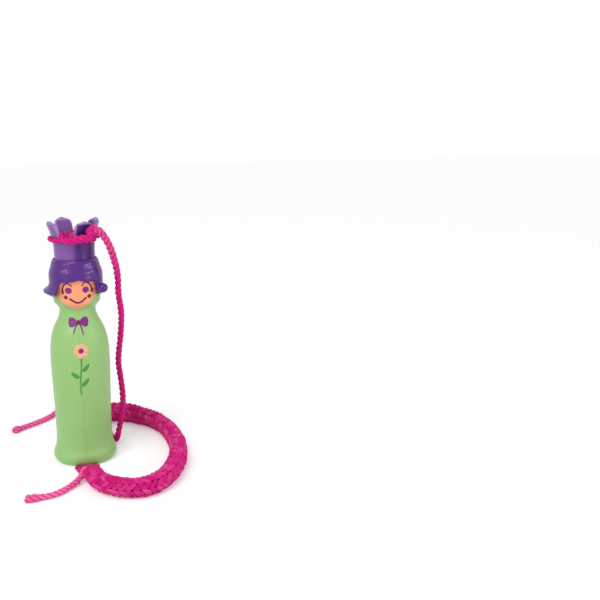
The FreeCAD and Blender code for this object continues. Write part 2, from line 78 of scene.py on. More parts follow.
class Body(Enum):
    """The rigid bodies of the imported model."""

    DOLL = "body"
    CROWN = "crown"


class Slot(Enum):
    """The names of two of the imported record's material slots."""

    PURPLE = "purple_plastic"
    YARN = "magenta_yarn"


class Twist(Enum):
    """How a curve's cross-section is kept from rolling."""

    LEVEL = "Z_UP"
    LEAST = "MINIMUM"


def linear(red: int, green: int, blue: int) -> Colour:
    """Turns a colour from sRGB bytes, 0 to 255, into linear values.

    Args:
        red: The red byte.
        green: The green byte.
        blue: The blue byte.

    Returns:
        The linear colour.
    """
    toe, toe_slope, offset, power = 0.04045, 12.92, 0.055, 2.4
    return tuple(
        share / toe_slope if share <= toe else ((share + offset) / (1 + offset)) ** power
        for share in (byte / 255 for byte in (red, green, blue))
    )


def opaque(colour: Colour) -> tuple[float, float, float, float]:
    """Returns the colour with an alpha of one."""
    return (*colour, 1.0)


def linked(name: str, data: bpy.types.ID) -> Piece:
    """Makes an object from its data and puts it in the scene."""
    item = bpy.data.objects.new(name, data)
    bpy.context.scene.collection.objects.link(item)
    return item


# ---------------------------------------------------------------- node helpers


class NodeBuilder:
    """Adds nodes to one node tree and links them."""

    def __init__(self, tree: Tree) -> None:
        """Works on the given tree."""
        self.tree = tree

    def add(self, kind: str, values: dict | None = None, **settings: object) -> Node:
        """Adds one node.

        Args:
            kind: The node's type.
            values: What its inputs take, as feed has it.
            **settings: The node's own properties.

        Returns:
            The new node.
        """
        node = self.tree.nodes.new(kind)
        for name, value in settings.items():
            setattr(node, name, value)
        self.feed(node, values or {})
        return node

    def feed(self, node: Node, values: dict) -> None:
        """Feeds a node's inputs.

        Args:
            node: The node.
            values: Input socket name or number, to a value or to a socket that feeds it.
        """
        for key, value in values.items():
            if isinstance(value, Socket):
                self.tree.links.new(value, node.inputs[key])
            else:
                node.inputs[key].default_value = value

    def math(self, operation: str, first: object, second: object = 0.0) -> Socket:
        """Adds a Math node and returns its output."""
        return self.add("ShaderNodeMath", {0: first, 1: second}, operation=operation).outputs[0]

    def times(self, first: object, second: object) -> Socket:
        """Returns the product of two numbers."""
        return self.math("MULTIPLY", first, second)

    def plus(self, first: object, second: object) -> Socket:
        """Returns the sum of two numbers."""
        return self.math("ADD", first, second)

    def minus(self, first: object, second: object) -> Socket:
        """Returns the first number less the second."""
        return self.math("SUBTRACT", first, second)

    def over(self, first: object, second: object) -> Socket:
        """Returns the first number divided by the second."""
        return self.math("DIVIDE", first, second)

    def vector(self, operation: str, first: object, second: object) -> Socket:
        """Adds a Vector Math node of two vectors and returns its output."""
        values = {0: first, 1: second}
        return self.add("ShaderNodeVectorMath", values, operation=operation).outputs[0]

    def scaled(self, vector: object, factor: object) -> Socket:
        """Returns a vector times a number."""
        values = {"Vector": vector, "Scale": factor}
        return self.add("ShaderNodeVectorMath", values, operation="SCALE").outputs["Vector"]

    def xyz(self, **parts: object) -> Socket:
        """Returns the vector with the given X, Y and Z, which are 0 where they aren't given."""
        return self.add("ShaderNodeCombineXYZ", parts).outputs["Vector"]

    def in_strand(self, along: Socket, angle: Socket) -> Socket:
        """Returns a place in a strand of yarn: how far along it is, and the angle as Y and Z."""
        return self.xyz(X=along, Y=self.math("COSINE", angle), Z=self.math("SINE", angle))

    def ramp(self, factor: object, low: float, high: float) -> Socket:
        """Returns 0 below low and 1 above high, with a smooth rise between them."""
        values = {"Value": factor, "From Min": low, "From Max": high}
        node = self.add("ShaderNodeMapRange", values, interpolation_type="SMOOTHSTEP")
        return node.outputs["Result"]

    def blend(self, factor: object, first: object, second: object) -> Socket:
        """Returns the mix of two colours."""
        node = self.add("ShaderNodeMix", data_type="RGBA")
        places = {socket.identifier: place for place, socket in enumerate(node.inputs)}
        values = {"Factor_Float": factor, "A_Color": first, "B_Color": second}
        self.feed(node, {places[name]: value for name, value in values.items()})
        return next(s for s in node.outputs if s.identifier == "Result_Color")

    def noise(
        self, vector: object, scale: object, detail: float = 2.0, roughness: float = 0.5
    ) -> Socket:
        """Returns the factor of a noise texture."""
        values = {"Vector": vector, "Scale": scale, "Detail": detail, "Roughness": roughness}
        return self.add("ShaderNodeTexNoise", values).outputs[0]

    def object_place(self) -> Socket:
        """Returns where a shaded point lies on its object."""
        return self.add("ShaderNodeTexCoord").outputs["Object"]

    def bump(self, height: Socket, strength: float, distance: float) -> Socket:
        """Returns the normal of a bumpy surface."""
        values = {"Height": height, "Strength": strength, "Distance": distance}
        return self.add("ShaderNodeBump", values).outputs["Normal"]

    def group(self, tree: Tree, values: dict) -> bpy.types.NodeOutputs:
        """Places a shader node group and returns its outputs."""
        return self.add("ShaderNodeGroup", values, node_tree=tree).outputs

    def random(self, seed: object, low: float | Point, high: float | Point) -> Socket:
        """Returns a random number, or a random vector, for each element."""
        first, result, kind = (2, 1, "FLOAT")
        if isinstance(low, tuple):
            first, result, kind = (0, 0, "FLOAT_VECTOR")
        values = {first: low, first + 1: high, "Seed": seed}
        return self.add("FunctionNodeRandomValue", values, data_type=kind).outputs[result]

    def position(self) -> Socket:
        """Returns where a point of the geometry is."""
        return self.add("GeometryNodeInputPosition").outputs[0]

    def captured(self, geometry: object, value: object, kind: str = "FLOAT") -> tuple[Socket, Socket]:
        """Captures a field on a geometry's points.

        Args:
            geometry: The geometry's socket.
            value: The field's socket.
            kind: The field's data type.

        Returns:
            The geometry and the captured value.
        """
        node = self.tree.nodes.new("GeometryNodeCaptureAttribute")
        node.capture_items.new(kind, "value")
        self.feed(node, {"Geometry": geometry, "value": value})
        return node.outputs["Geometry"], node.outputs["value"]

    def stored(
        self, geometry: object, name: str, value: object, kind: str = "FLOAT", domain: str = "POINT"
    ) -> Socket:
        """Stores a named attribute on a geometry and returns the geometry."""
        values = {"Geometry": geometry, "Name": name, "Value": value}
        node = self.add("GeometryNodeStoreNamedAttribute", values, data_type=kind, domain=domain)
        return node.outputs["Geometry"]

    def ring(self, count: object, radius: object) -> Socket:
        """Returns a circle of straight steps."""
        values = {"Resolution": count, "Radius": radius}
        return self.add("GeometryNodeCurvePrimitiveCircle", values, mode="RADIUS").outputs["Curve"]

    def bow(self, count: int, start: object, middle: object, end: object) -> Socket:
        """Returns a bowed line from its start to its end."""
        values = {"Resolution": count, "Start": start, "Middle": middle, "End": end}
        return self.add("GeometryNodeCurveQuadraticBezier", values).outputs["Curve"]

    def stepped(self, line: object, step: object) -> Socket:
        """Returns a line divided into steps of one length."""
        values = {"Curve": line, "Length": step}
        return self.add("GeometryNodeResampleCurve", values, mode="LENGTH").outputs["Curve"]

    def swept(self, line: object, section: object, width: object = None) -> Socket:
        """Sweeps a section along a line and closes its ends.

        Args:
            line: The line.
            section: The section.
            width: How much the section grows. Without it the line's own widths count.

        Returns:
            The surface.
        """
        if width is None:
            width = self.add("GeometryNodeInputRadius").outputs[0]
        values = {"Curve": line, "Profile Curve": section, "Scale": width, "Fill Caps": True}
        return self.add("GeometryNodeCurveToMesh", values).outputs["Mesh"]

    def moved(self, geometry: object, **how: object) -> Socket:
        """Sets the Position of a geometry's points, or their Offset."""
        values = {"Geometry": geometry, **how}
        return self.add("GeometryNodeSetPosition", values).outputs["Geometry"]

    def instanced(self, **values: object) -> Socket:
        """Puts an Instance on Points, with a Rotation and a Scale."""
        return self.add("GeometryNodeInstanceOnPoints", values).outputs["Instances"]

    def finished(self, parts: tuple[Socket, ...], material: Socket) -> Socket:
        """Ends a tree: joins its parts, smooth, with real instances and the material."""
        both = self.add("GeometryNodeJoinGeometry")
        for part in parts:
            self.tree.links.new(part, both.inputs[0])
        smooth = self.add("GeometryNodeSetShadeSmooth", {"Geometry": both.outputs[0]}).outputs[0]
        real = self.add("GeometryNodeRealizeInstances", {"Geometry": smooth}).outputs[0]
        values = {"Geometry": real, "Material": material}
        return self.add("GeometryNodeSetMaterial", values).outputs["Geometry"]


def new_group(
    name: str, kind: str, inputs: dict[str, object], outputs: dict[str, str]
) -> tuple[NodeBuilder, bpy.types.NodeOutputs, Node]:
    """Starts a node group.

    Args:
        name: The group's name.
        kind: What comes before NodeTree in its type.
        inputs: Name to a default value, or to a socket type where there is none.
        outputs: Name to a socket type.

    Returns:
        The builder, what the group is given and the output node.
    """
    tree = bpy.data.node_groups.new(name, f"{kind}NodeTree")
    kinds = {float: "NodeSocketFloat", int: "NodeSocketInt", tuple: "NodeSocketColor"}
    for label, default in inputs.items():
        plain = isinstance(default, str)
        socket = tree.interface.new_socket(
            label, in_out="INPUT", socket_type=default if plain else kinds[type(default)]
        )
        if not plain:
            socket.default_value = default
    for label, socket_type in outputs.items():
        tree.interface.new_socket(label, in_out="OUTPUT", socket_type=socket_type)
    nodes = NodeBuilder(tree)
    return nodes, nodes.add("NodeGroupInput").outputs, nodes.add("NodeGroupOutput")


# ---------------------------------------------------------------- shared shader effects


def moulded_grain_group() -> Tree:
    """Builds the fine orange peel and the uneven gloss of moulded plastic."""
    nodes, given, result = new_group(
        "moulded_grain",
        "Shader",
        {
            "Vector": "NodeSocketVector",
            "Grain Scale": 900.0,
            "Broad Share": 0.12,
            "Roughness": 0.3,
            "Spread": 0.08,
        },
        {"Roughness": "NodeSocketFloat", "Height": "NodeSocketFloat"},
    )
    fine = nodes.noise(given["Vector"], given["Grain Scale"], detail=3.0)
    broad = nodes.noise(given["Vector"], nodes.times(given["Grain Scale"], given["Broad Share"]))
    change = nodes.times(nodes.minus(broad, 0.5), given["Spread"])
    roughness = nodes.plus(given["Roughness"], change)
    nodes.feed(result, {"Roughness": roughness, "Height": nodes.plus(fine, broad)})
    return nodes.tree


def handling_wear_group() -> Tree:
    """Builds the slight change of colour that moulding flow and handling leave."""
    nodes, given, result = new_group(
        "handling_wear",
        "Shader",
        {
            "Vector": "NodeSocketVector",
            "Color": (0.5, 0.5, 0.5, 1.0),
            "Worn Color": (0.6, 0.6, 0.6, 1.0),
            "Patch Scale": 60.0,
            "Amount": 0.3,
        },
        {"Color": "NodeSocketColor"},
    )
    patches = nodes.noise(given["Vector"], given["Patch Scale"], detail=4.0, roughness=0.6)
    mask = nodes.times(nodes.ramp(patches, low=0.35, high=0.75), given["Amount"])
    nodes.feed(result, {"Color": nodes.blend(mask, given["Color"], given["Worn Color"])})
    return nodes.tree


def yarn_fibre_group() -> Tree:
    """Builds the colour of a plied yarn: random light streaks along the fibres, painted shade in the
    grooves between the plies and painted highlights on their crests where the yarn is paler.
    """
    nodes, given, result = new_group(
        "yarn_fibre",
        "Shader",
        {
            "Strand": "NodeSocketVector",
            "Ply": 1.0,
            "Shade": 0.5,
            "Color": (0.6, 0.01, 0.2, 1.0),
            "Groove Shade Color": (0.3, 0.0, 0.1, 1.0),
            "Light Color": (0.9, 0.2, 0.4, 1.0),
            "Streak Scale": 4.5,
            "Streak Light": 0.5,
            "Tuft Scale": 0.9,
            "Crest Highlight": 0.85,
        },
        {"Color": "NodeSocketColor", "Height": "NodeSocketFloat"},
    )
    drawn_out = nodes.vector("MULTIPLY", given["Strand"], (0.22, 1.0, 1.0))
    streaks = nodes.noise(drawn_out, given["Streak Scale"], detail=4.0, roughness=0.7)
    tufts = nodes.noise(given["Strand"], given["Tuft Scale"])
    paler_share = nodes.ramp(given["Shade"], low=0.1, high=1.0)
    # Painted shade: the grooves between the plies darken towards the groove shade colour, less so where
    # the yarn is paler.
    groove_shade = nodes.blend(paler_share, given["Groove Shade Color"], given["Color"])
    body = nodes.blend(nodes.ramp(given["Ply"], low=0.0, high=0.6), groove_shade, given["Color"])
    bright = nodes.times(nodes.ramp(streaks, low=0.47, high=0.75), given["Streak Light"])
    lit = nodes.blend(bright, body, given["Light Color"])
    # Painted highlight: where the yarn is paler, the ply crests turn towards the light colour.
    crest = nodes.times(nodes.ramp(given["Ply"], low=0.15, high=0.8), given["Crest Highlight"])
    colour = nodes.blend(nodes.times(paler_share, crest), lit, given["Light Color"])
    nodes.feed(result, {"Color": colour, "Height": nodes.plus(streaks, tufts)})
    return nodes.tree


class Effects:
    """The shared shader node groups, built once."""

    def __init__(self) -> None:
        """Builds every group."""
        self.grain = moulded_grain_group()
        self.wear = handling_wear_group()
        self.fibre = yarn_fibre_group()

    def handled(
        self, nodes: NodeBuilder, colour: object, worn: Colour, roughness: float, wear: dict
    ) -> tuple[Socket, Socket, Socket]:
        """Adds the wear and the grain of a moulded or painted surface.

        Args:
            nodes: The builder of the material.
            colour: Its own colour, with alpha.
            worn: Its colour where it is worn.
            roughness: Its mean roughness.
            wear: Other inputs of the wear.

        Returns:
            The colour, the roughness and the height of the grain.
        """
        place = nodes.object_place()
        grain = nodes.group(self.grain, {"Vector": place, "Roughness": roughness})
        values = {"Vector": place, "Color": colour, "Worn Color": opaque(worn), **wear}
        return nodes.group(self.wear, values)["Color"], grain["Roughness"], grain["Height"]


def new_material(name: str) -> tuple[Material, NodeBuilder, Node]:
    """Starts a material that has one Principled BSDF.

    Args:
        name: The material's name.

    Returns:
        The material, its node builder and the shader.
    """
    material = bpy.data.materials.new(name)
    material.use_nodes = True
    material.node_tree.nodes.clear()
    nodes = NodeBuilder(material.node_tree)
    shader = nodes.add("ShaderNodeBsdfPrincipled")
    nodes.add("ShaderNodeOutputMaterial", {"Surface": shader.outputs["BSDF"]})
    return material, nodes, shader


# ---------------------------------------------------------------- finishes


@dataclass(frozen=True)
class MouldedPlastic:
    """Opaque moulded plastic with a fine grain, and a parting line where two shells meet."""

    name: str
    colour: Colour
    worn: Colour
    roughness: float = 0.3
    specular: float = 0.5
    coat: float = 0.25
    coat_roughness: float = 0.12
    bump: float = 0.08
    parting_line: bool = False
    line_edge: Flat = (0.06 * MM, 0.16 * MM)
    line_shade: float = 0.78
    line_depth: float = 1.5

    def material(self, effects: Effects) -> Material:
        """Builds the material from the shared effects."""
        material, nodes, shader = new_material(self.name)
        colour, roughness, height = effects.handled(
            nodes, opaque(self.colour), self.worn, self.roughness, {}
        )
        if self.parting_line:
            colour, height = self._parted(nodes, colour, height)
        values = {
            "Base Color": colour,
            "Roughness": roughness,
            "Normal": nodes.bump(height, self.bump, GRAIN_DEPTH),
            "Specular IOR Level": self.specular,
            "Coat Weight": self.coat,
            "Coat Roughness": self.coat_roughness,
            "Subsurface Weight": 0.06,
            "Subsurface Radius": (1.0, 1.0, 0.6),
            "Subsurface Scale": 1.5 * MM,
        }
        nodes.feed(shader, values)
        return material

    def _parted(self, nodes: NodeBuilder, colour: object, height: object) -> tuple[Socket, Socket]:
        """Adds the fine line where the two shells meet, at the middle of the doll."""
        split = nodes.add("ShaderNodeSeparateXYZ", {"Vector": nodes.object_place()})
        away = nodes.ramp(nodes.math("ABSOLUTE", split.outputs["X"]), *self.line_edge)
        shadow = tuple(self.line_shade * value for value in self.colour)
        line = nodes.blend(nodes.ramp(away, 0.0, 1.0), opaque(shadow), colour)
        return line, nodes.plus(height, nodes.times(away, self.line_depth))


@dataclass(frozen=True)
class PaintedLightPlastic:
    """Purple plastic with painted light: its left half is painted paler and its right half darker, as
    though lit from the left, and the pegs' tops and sides carry painted highlights.

    Each inset is the pair of distances from a peg's edge between which its painted highlight begins.
    """

    name: str
    # deep is the painted shade of the right half, middle the painted light of the left half and also the
    # worn colour, pale the colour of the painted highlights.
    deep: Colour
    middle: Colour
    pale: Colour
    peg_angle: float
    peg_half_width: float
    peg_top: float
    roughness: float = 0.25
    side_inset: Flat = (1.5 * MM, 0.4 * MM)
    top_inset: Flat = (2.6 * MM, 1.0 * MM)
    foot_inset: Flat = (13.0 * MM, 9.0 * MM)
    light_split_width: float = 2.5 * MM
    cloud_scale: float = 120.0
    cloud_strength: Flat = (0.5, 0.45)

    def _rim_highlights(self, nodes: NodeBuilder, split: bpy.types.NodeOutputs) -> Socket:
        """Returns the mask of the painted highlight: 1 along the top and the sides of every peg, and 0
        elsewhere.
        """
        across, deep, height = (split[axis] for axis in "XYZ")
        quarter = math.pi / 2
        from_peg = nodes.minus(nodes.math("ARCTAN2", deep, across), self.peg_angle - quarter / 2)
        off_middle = nodes.minus(nodes.math("FLOORED_MODULO", from_peg, quarter), quarter / 2)
        square = nodes.plus(nodes.times(across, across), nodes.times(deep, deep))
        beside = nodes.times(nodes.math("SQRT", square), nodes.math("SINE", off_middle))
        half, top = self.peg_half_width, self.peg_top
        side = nodes.ramp(nodes.math("ABSOLUTE", beside), *(half - inset for inset in self.side_inset))
        rim = nodes.math("MAXIMUM", side, nodes.ramp(height, *(top - inset for inset in self.top_inset)))
        return nodes.times(rim, nodes.ramp(height, *(top - inset for inset in self.foot_inset)))

    def material(self, effects: Effects) -> Material:
        """Builds the material from the shared effects."""
        material, nodes, shader = new_material(self.name)
        place = nodes.object_place()
        split = nodes.add("ShaderNodeSeparateXYZ", {"Vector": place}).outputs
        # Painted light: paler on the left half (-X) and darker on the right half, with a soft change
        # across the middle.
        thin = nodes.ramp(split["X"], self.light_split_width, -self.light_split_width)
        lit_and_shaded_halves = nodes.blend(thin, opaque(self.deep), opaque(self.middle))
        cloud = nodes.ramp(nodes.noise(place, self.cloud_scale, detail=3.0), low=0.1, high=0.7)
        least, more = self.cloud_strength
        # Painted highlight: the pegs' rims turn towards the pale colour, unevenly by a noise.
        rim = nodes.times(self._rim_highlights(nodes, split), nodes.plus(least, nodes.times(cloud, more)))
        mixed = nodes.blend(rim, lit_and_shaded_halves, opaque(self.pale))
        colour, roughness, height = effects.handled(
            nodes, mixed, self.middle, self.roughness, {"Amount": 0.2}
        )
        values = {
            "Base Color": colour,
            "Roughness": roughness,
            "Normal": nodes.bump(height, 0.06, GRAIN_DEPTH),
            "Specular IOR Level": 0.2,
            "Coat Weight": 0.05,
            "Coat Roughness": 0.15,
            "Subsurface Weight": 0.2,
            "Subsurface Radius": (0.8, 0.4, 1.0),
            "Subsurface Scale": 1.5 * MM,
        }
        nodes.feed(shader, values)
        return material


@dataclass(frozen=True)
class PliedFibre:
    """Chunky plied yarn, soft and slightly fuzzy, with painted shade in the grooves between its plies
    and painted highlights on their crests where it is paler.
    """

    name: str
    colour: Colour
    deep: Colour
    light: Colour

    def material(self, effects: Effects) -> Material:
        """Builds the material from the shared effects."""
        material, nodes, shader = new_material(self.name)
        values = {
            "Color": opaque(self.colour),
            "Groove Shade Color": opaque(self.deep),
            "Light Color": opaque(self.light),
        }
        for name, output in (("strand", "Vector"), ("ply", "Fac"), ("shade", "Fac")):
            stored = nodes.add("ShaderNodeAttribute", attribute_name=name)
            values[name.capitalize()] = stored.outputs[output]
        fibre = nodes.group(effects.fibre, values)
        values = {
            "Base Color": fibre["Color"],
            "Normal": nodes.bump(fibre["Height"], 0.5, FIBRE_DEPTH),
            "Roughness": 0.85,
            "Specular IOR Level": 0.15,
            "Sheen Weight": 0.1,
            "Sheen Roughness": 0.5,
            "Sheen Tint": opaque(self.light),
        }
        nodes.feed(shader, values)
        return material


@dataclass(frozen=True)
class Paint:
    """Printed paint on the plastic, with a faintly uneven coat."""

    name: str
    colour: Colour
    roughness: float = 0.4
    thinned: Flat = (0.85, 0.08)

    def material(self, effects: Effects) -> Material:
        """Builds the material from the shared effects."""
        material, nodes, shader = new_material(self.name)
        kept, paler = self.thinned
        thin = tuple(min(1.0, kept * value + paler) for value in self.colour)
        colour, roughness, _ = effects.handled(
            nodes, opaque(self.colour), thin, self.roughness, {"Patch Scale": 400.0}
        )
        values = {"Base Color": colour, "Roughness": roughness, "Specular IOR Level": 0.3}
        nodes.feed(shader, values)
        return material


GREEN = MouldedPlastic(
    "green_moulded_plastic",
    linear(146, 192, 114),
    linear(158, 202, 128),
    roughness=0.42,
    coat=0.1,
    parting_line=True,
)
HAIR_PURPLE = MouldedPlastic(
    "purple_hair_plastic",
    linear(82, 32, 124),
    linear(90, 40, 132),
    roughness=0.36,
    specular=0.25,
    coat=0.22,
    coat_roughness=0.03,
)
# Its deep and middle colours are painted shade and painted light on the crown's two halves; pale is the
# painted highlight on the pegs' rims.
CROWN_PURPLE = PaintedLightPlastic(
    "purple_crown_plastic",
    linear(78, 30, 116),
    linear(130, 88, 162),
    linear(172, 142, 204),
    peg_angle=math.radians(26.0),
    peg_half_width=5.5 * MM,
    peg_top=150.0 * MM,
)
# The deep colours are painted shade in the grooves between the plies and on the knitted cord's core; the
# light colours tint the random streaks, the sheen and the painted highlights on paler ply crests.
MAGENTA = PliedFibre(
    "magenta_plied_yarn", linear(222, 6, 130), linear(132, 0, 74), linear(255, 128, 190)
)
KNIT_MAGENTA = PliedFibre(
    "magenta_knit_yarn", linear(204, 2, 116), linear(112, 0, 60), linear(250, 104, 178)
)
PEACH = Paint("peach_face_paint", linear(250, 164, 122))
BLOSSOM = Paint("peach_blossom_paint", linear(240, 178, 136))
PLUM = Paint("plum_paint", linear(128, 26, 126))
WINE = Paint("wine_paint", linear(118, 0, 64))
LEAF = Paint("leaf_green_paint", linear(74, 150, 58))
FINISHES = (GREEN, HAIR_PURPLE, CROWN_PURPLE, MAGENTA, KNIT_MAGENTA, PEACH, BLOSSOM, PLUM, WINE, LEAF)


# ---------------------------------------------------------------- routes


@dataclass(frozen=True)
class Route:
    """The line that a cord or yarn follows: the control points of one smooth spline."""

    points: tuple[Point, ...]
    twist: Twist = Twist.LEAST
    widths: tuple[float, ...] = ()
    closed: bool = False
    resolution: int = 24

    def curve(self, name: str) -> Piece:
        """Makes the spline as a curve object with the given name."""
        data = bpy.data.curves.new(name, "CURVE")
        data.dimensions = "3D"
        data.twist_mode = self.twist.value
        data.resolution_u = self.resolution
        spline = data.splines.new("NURBS")
        spline.points.add(len(self.points) - 1)
        for number, (control, place) in enumerate(zip(spline.points, self.points)):
            control.co = (*place, 1.0)
            control.radius = self.widths[number] if self.widths else 1.0
        spline.order_u = 3
        spline.use_endpoint_u = not self.closed
        spline.use_cyclic_u = self.closed
        return linked(name, data)

    def line(self) -> list[Point]:
        """Returns the points that the spline runs through."""
        curve = self.curve("route_line")
        mesh = bpy.data.meshes.new_from_object(curve)
        points = [tuple(vertex.co) for vertex in mesh.vertices]
        bpy.data.meshes.remove(mesh)
        bpy.data.curves.remove(curve.data)
        return points


I_CORD_ROUTE = Route(
    (
        (0.0, 0.0182, 0.0058), (0.0, 0.0302, 0.0060), (0.0025, 0.0451, 0.0063),
        (0.0074, 0.0546, 0.0067), (0.0150, 0.0612, 0.0069), (0.0240, 0.0614, 0.0069),
        (0.0326, 0.0562, 0.0066), (0.0404, 0.0486, 0.0063), (0.0476, 0.0396, 0.0060),
        (0.0530, 0.0260, 0.0058), (0.0560, 0.0088, 0.0058), (0.0570, -0.0100, 0.0058),
        (0.0556, -0.0266, 0.0059), (0.0520, -0.0412, 0.0060), (0.0476, -0.0540, 0.0062),
        (0.0414, -0.0640, 0.0061), (0.0330, -0.0710, 0.0060), (0.0232, -0.0712, 0.0059),
        (0.0136, -0.0650, 0.0059), (0.0068, -0.0564, 0.0058), (0.0038, -0.0446, 0.0058),
        (0.0014, -0.0325, 0.0058), (0.0005, -0.0198, 0.0058),
    ),
    twist=Twist.LEVEL,
    widths=(1.0, 1.05, 1.14, 1.22, 1.27, 1.26, 1.2, 1.12, 1.06)
    + (1.0, 1.0, 1.0, 1.02, 1.06, 1.1, 1.08, 1.04, 1.03)
    + (1.02, 1.0, 1.0, 1.0, 1.0),
)
INNER_CORD_ROUTE = Route(
    (
        (0.0, 0.0, 0.1122), (0.0, 0.0004, 0.0860), (0.0, -0.0014, 0.0620),
        (0.0, -0.0060, 0.0410), (0.0, -0.0083, 0.0270), (0.0, -0.0075, 0.0168),
        (0.0, -0.0022, 0.0090), (0.0, 0.0070, 0.0058), (0.0, 0.0182, 0.0058),
    )
)
FUNNEL_ROUTE = Route(
    (
        (0.0, 0.0, 0.1126), (0.0, 0.0, 0.1180), (0.0, 0.0, 0.1235),
        (0.0, 0.0, 0.1290), (0.0, 0.0, 0.1345), (0.0, 0.0, 0.1396),
    ),
    widths=(1.0, 1.0, 1.0, 1.03, 1.1, 1.15),
)
YARN_ROUTE = Route(
    (
        (0.0112, -0.0153, 0.1459), (0.0136, -0.0143, 0.1452), (0.0162, -0.0127, 0.1426),
        (0.0187, -0.0108, 0.1384), (0.0210, -0.0087, 0.1328), (0.0228, -0.0066, 0.1262),
        (0.0243, -0.0045, 0.1188), (0.0248, -0.0022, 0.1114), (0.0245, 0.0004, 0.1040),
        (0.0264, 0.0038, 0.0905), (0.0252, 0.0078, 0.0740), (0.0228, 0.0110, 0.0580),
        (0.0248, 0.0126, 0.0420), (0.0252, 0.0128, 0.0290), (0.0236, 0.0126, 0.0195),
        (0.0219, 0.0124, 0.0126), (0.0209, 0.0136, 0.0074), (0.0202, 0.0164, 0.0036),
        (0.0192, 0.0204, 0.0020), (0.0174, 0.0262, 0.0019), (0.0149, 0.0334, 0.0032),
        (0.0126, 0.0402, 0.0074), (0.0104, 0.0468, 0.0132), (0.0084, 0.0534, 0.0172),
        (0.0064, 0.0622, 0.0174), (0.0060, 0.0714, 0.0114), (0.0066, 0.0796, 0.0050),
        (0.0064, 0.0876, 0.0019), (0.0021, 0.0949, 0.00185), (-0.0060, 0.0977, 0.00185),
        (-0.0141, 0.0949, 0.00185), (-0.0184, 0.0874, 0.00185), (-0.0216, 0.0786, 0.00185),
        (-0.0286, 0.0694, 0.00185), (-0.0372, 0.0616, 0.00185), (-0.0457, 0.0541, 0.00185),
    ),
    widths=(1.08, 1.12, 1.16, 1.18, 1.18, 1.14, 1.08, 1.04) + (1.0,) * 28,
)
TAIL_ROUTE = Route(
    (
        (-0.0006, -0.0366, 0.0064), (-0.0042, -0.0434, 0.0026), (-0.0094, -0.0502, 0.00185),
        (-0.0148, -0.0574, 0.00185), (-0.0226, -0.0620, 0.00185), (-0.0334, -0.0622, 0.00185),
    )
)


# ---------------------------------------------------------------- geometry trees


def plied_yarn_tree() -> Tree:
    """Builds the tree that sweeps twisted plies along a curve and lets loose fibres stand out."""
    nodes, given, result = new_group(
        "plied_yarn",
        "Geometry",
        {
            "Geometry": "NodeSocketGeometry",
            "Radius": 0.56 * YARN_DIAMETER,
            "Step": 0.5 * MM,
            "Turn Length": 10.5 * MM,
            "Plies": 3,
            "Ply Depth": 0.42,
            "Ply Roundness": 0.8,
            "Fuzz": 0.35 * MM,
            "Lump Scale": 700.0,
            "Swelling Scale": 160.0,
            "Swelling": 1.6,
            "Around": 27,
            "Paler Length": 0.1 * MM,
            "Paler End": 0.9,
            "Painted Light Near Start": 0.5,
            "Frayed Length": 0.1 * MM,
            "Frayed Lift": 0.7,
            "Frayed Density": 14.0,
            "Frayed Growth": 0.4,
            "Fibre Density": 350000.0,
            "Fibre Length": 1.15 * MM,
            "Seed": 3,
            "Material": "NodeSocketMaterial",
        },
        {"Geometry": "NodeSocketGeometry"},
    )
    line = nodes.stepped(given["Geometry"], given["Step"])
    whole = nodes.add("GeometryNodeCurveLength", {"Curve": line}).outputs[0]
    along = nodes.add("GeometryNodeSplineParameter").outputs["Length"]
    line, along_here = nodes.captured(line, along)
    tilt = nodes.times(nodes.over(along, given["Turn Length"]), FULL_TURN)
    tilted = nodes.add("GeometryNodeSetCurveTilt", {"Curve": line, "Tilt": tilt}).outputs["Curve"]
    section, lobe_here, angle_here = ply_section(nodes, given)
    surface = nodes.swept(tilted, section)
    strand = nodes.in_strand(nodes.over(along_here, MM), angle_here)
    left = nodes.minus(whole, along_here)
    # Paler towards the far end of the yarn.
    paler_share = nodes.ramp(nodes.over(left, given["Paler Length"]), 1.15, 0.85)
    frayed = nodes.ramp(nodes.over(left, given["Frayed Length"]), 1.0, 0.3)
    # Painted light: the yarn's first stretch, near the crown, is painted paler.
    painted_light_near_start = nodes.ramp(nodes.over(along_here, given["Paler Length"]), 0.9, 0.2)
    paler = nodes.math("MAXIMUM", nodes.times(paler_share, given["Paler End"]), frayed)
    surface = nodes.stored(surface, "strand", strand, "FLOAT_VECTOR")
    surface = nodes.stored(surface, "ply", lobe_here)
    shade = nodes.math("MAXIMUM", paler, nodes.times(painted_light_near_start, given["Painted Light Near Start"]))
    surface = nodes.stored(surface, "shade", shade)
    surface = nodes.moved(surface, Offset=fuzz_offset(nodes, given, frayed))
    thicker = nodes.plus(1.0, nodes.times(frayed, given["Frayed Density"]))
    density = nodes.times(given["Fibre Density"], thicker)
    parts = (surface, loose_fibres(nodes, given, surface, density, frayed))
    nodes.feed(result, {"Geometry": nodes.finished(parts, given["Material"])})
    return nodes.tree


def fuzz_offset(nodes: NodeBuilder, given: bpy.types.NodeOutputs, frayed: Socket) -> Socket:
    """Builds how far the yarn's surface stands out, with fine lumps and broad swellings.

    Args:
        nodes: The builder of the tree.
        given: What the tree is given.
        frayed: 1 at a frayed end of the yarn and 0 elsewhere.

    Returns:
        The offset.
    """
    seeded = nodes.vector("ADD", nodes.position(), nodes.scaled((1.0, 1.0, 1.0), given["Seed"]))
    lumps = nodes.minus(nodes.noise(seeded, given["Lump Scale"], detail=3.0, roughness=0.7), 0.5)
    swelling = nodes.minus(nodes.noise(seeded, given["Swelling Scale"]), 0.5)
    rise = nodes.plus(lumps, nodes.times(swelling, given["Swelling"]))
    tousled = nodes.plus(rise, nodes.times(frayed, given["Frayed Lift"]))
    lift = nodes.times(tousled, given["Fuzz"])
    return nodes.scaled(nodes.add("GeometryNodeInputNormal").outputs["Normal"], lift)


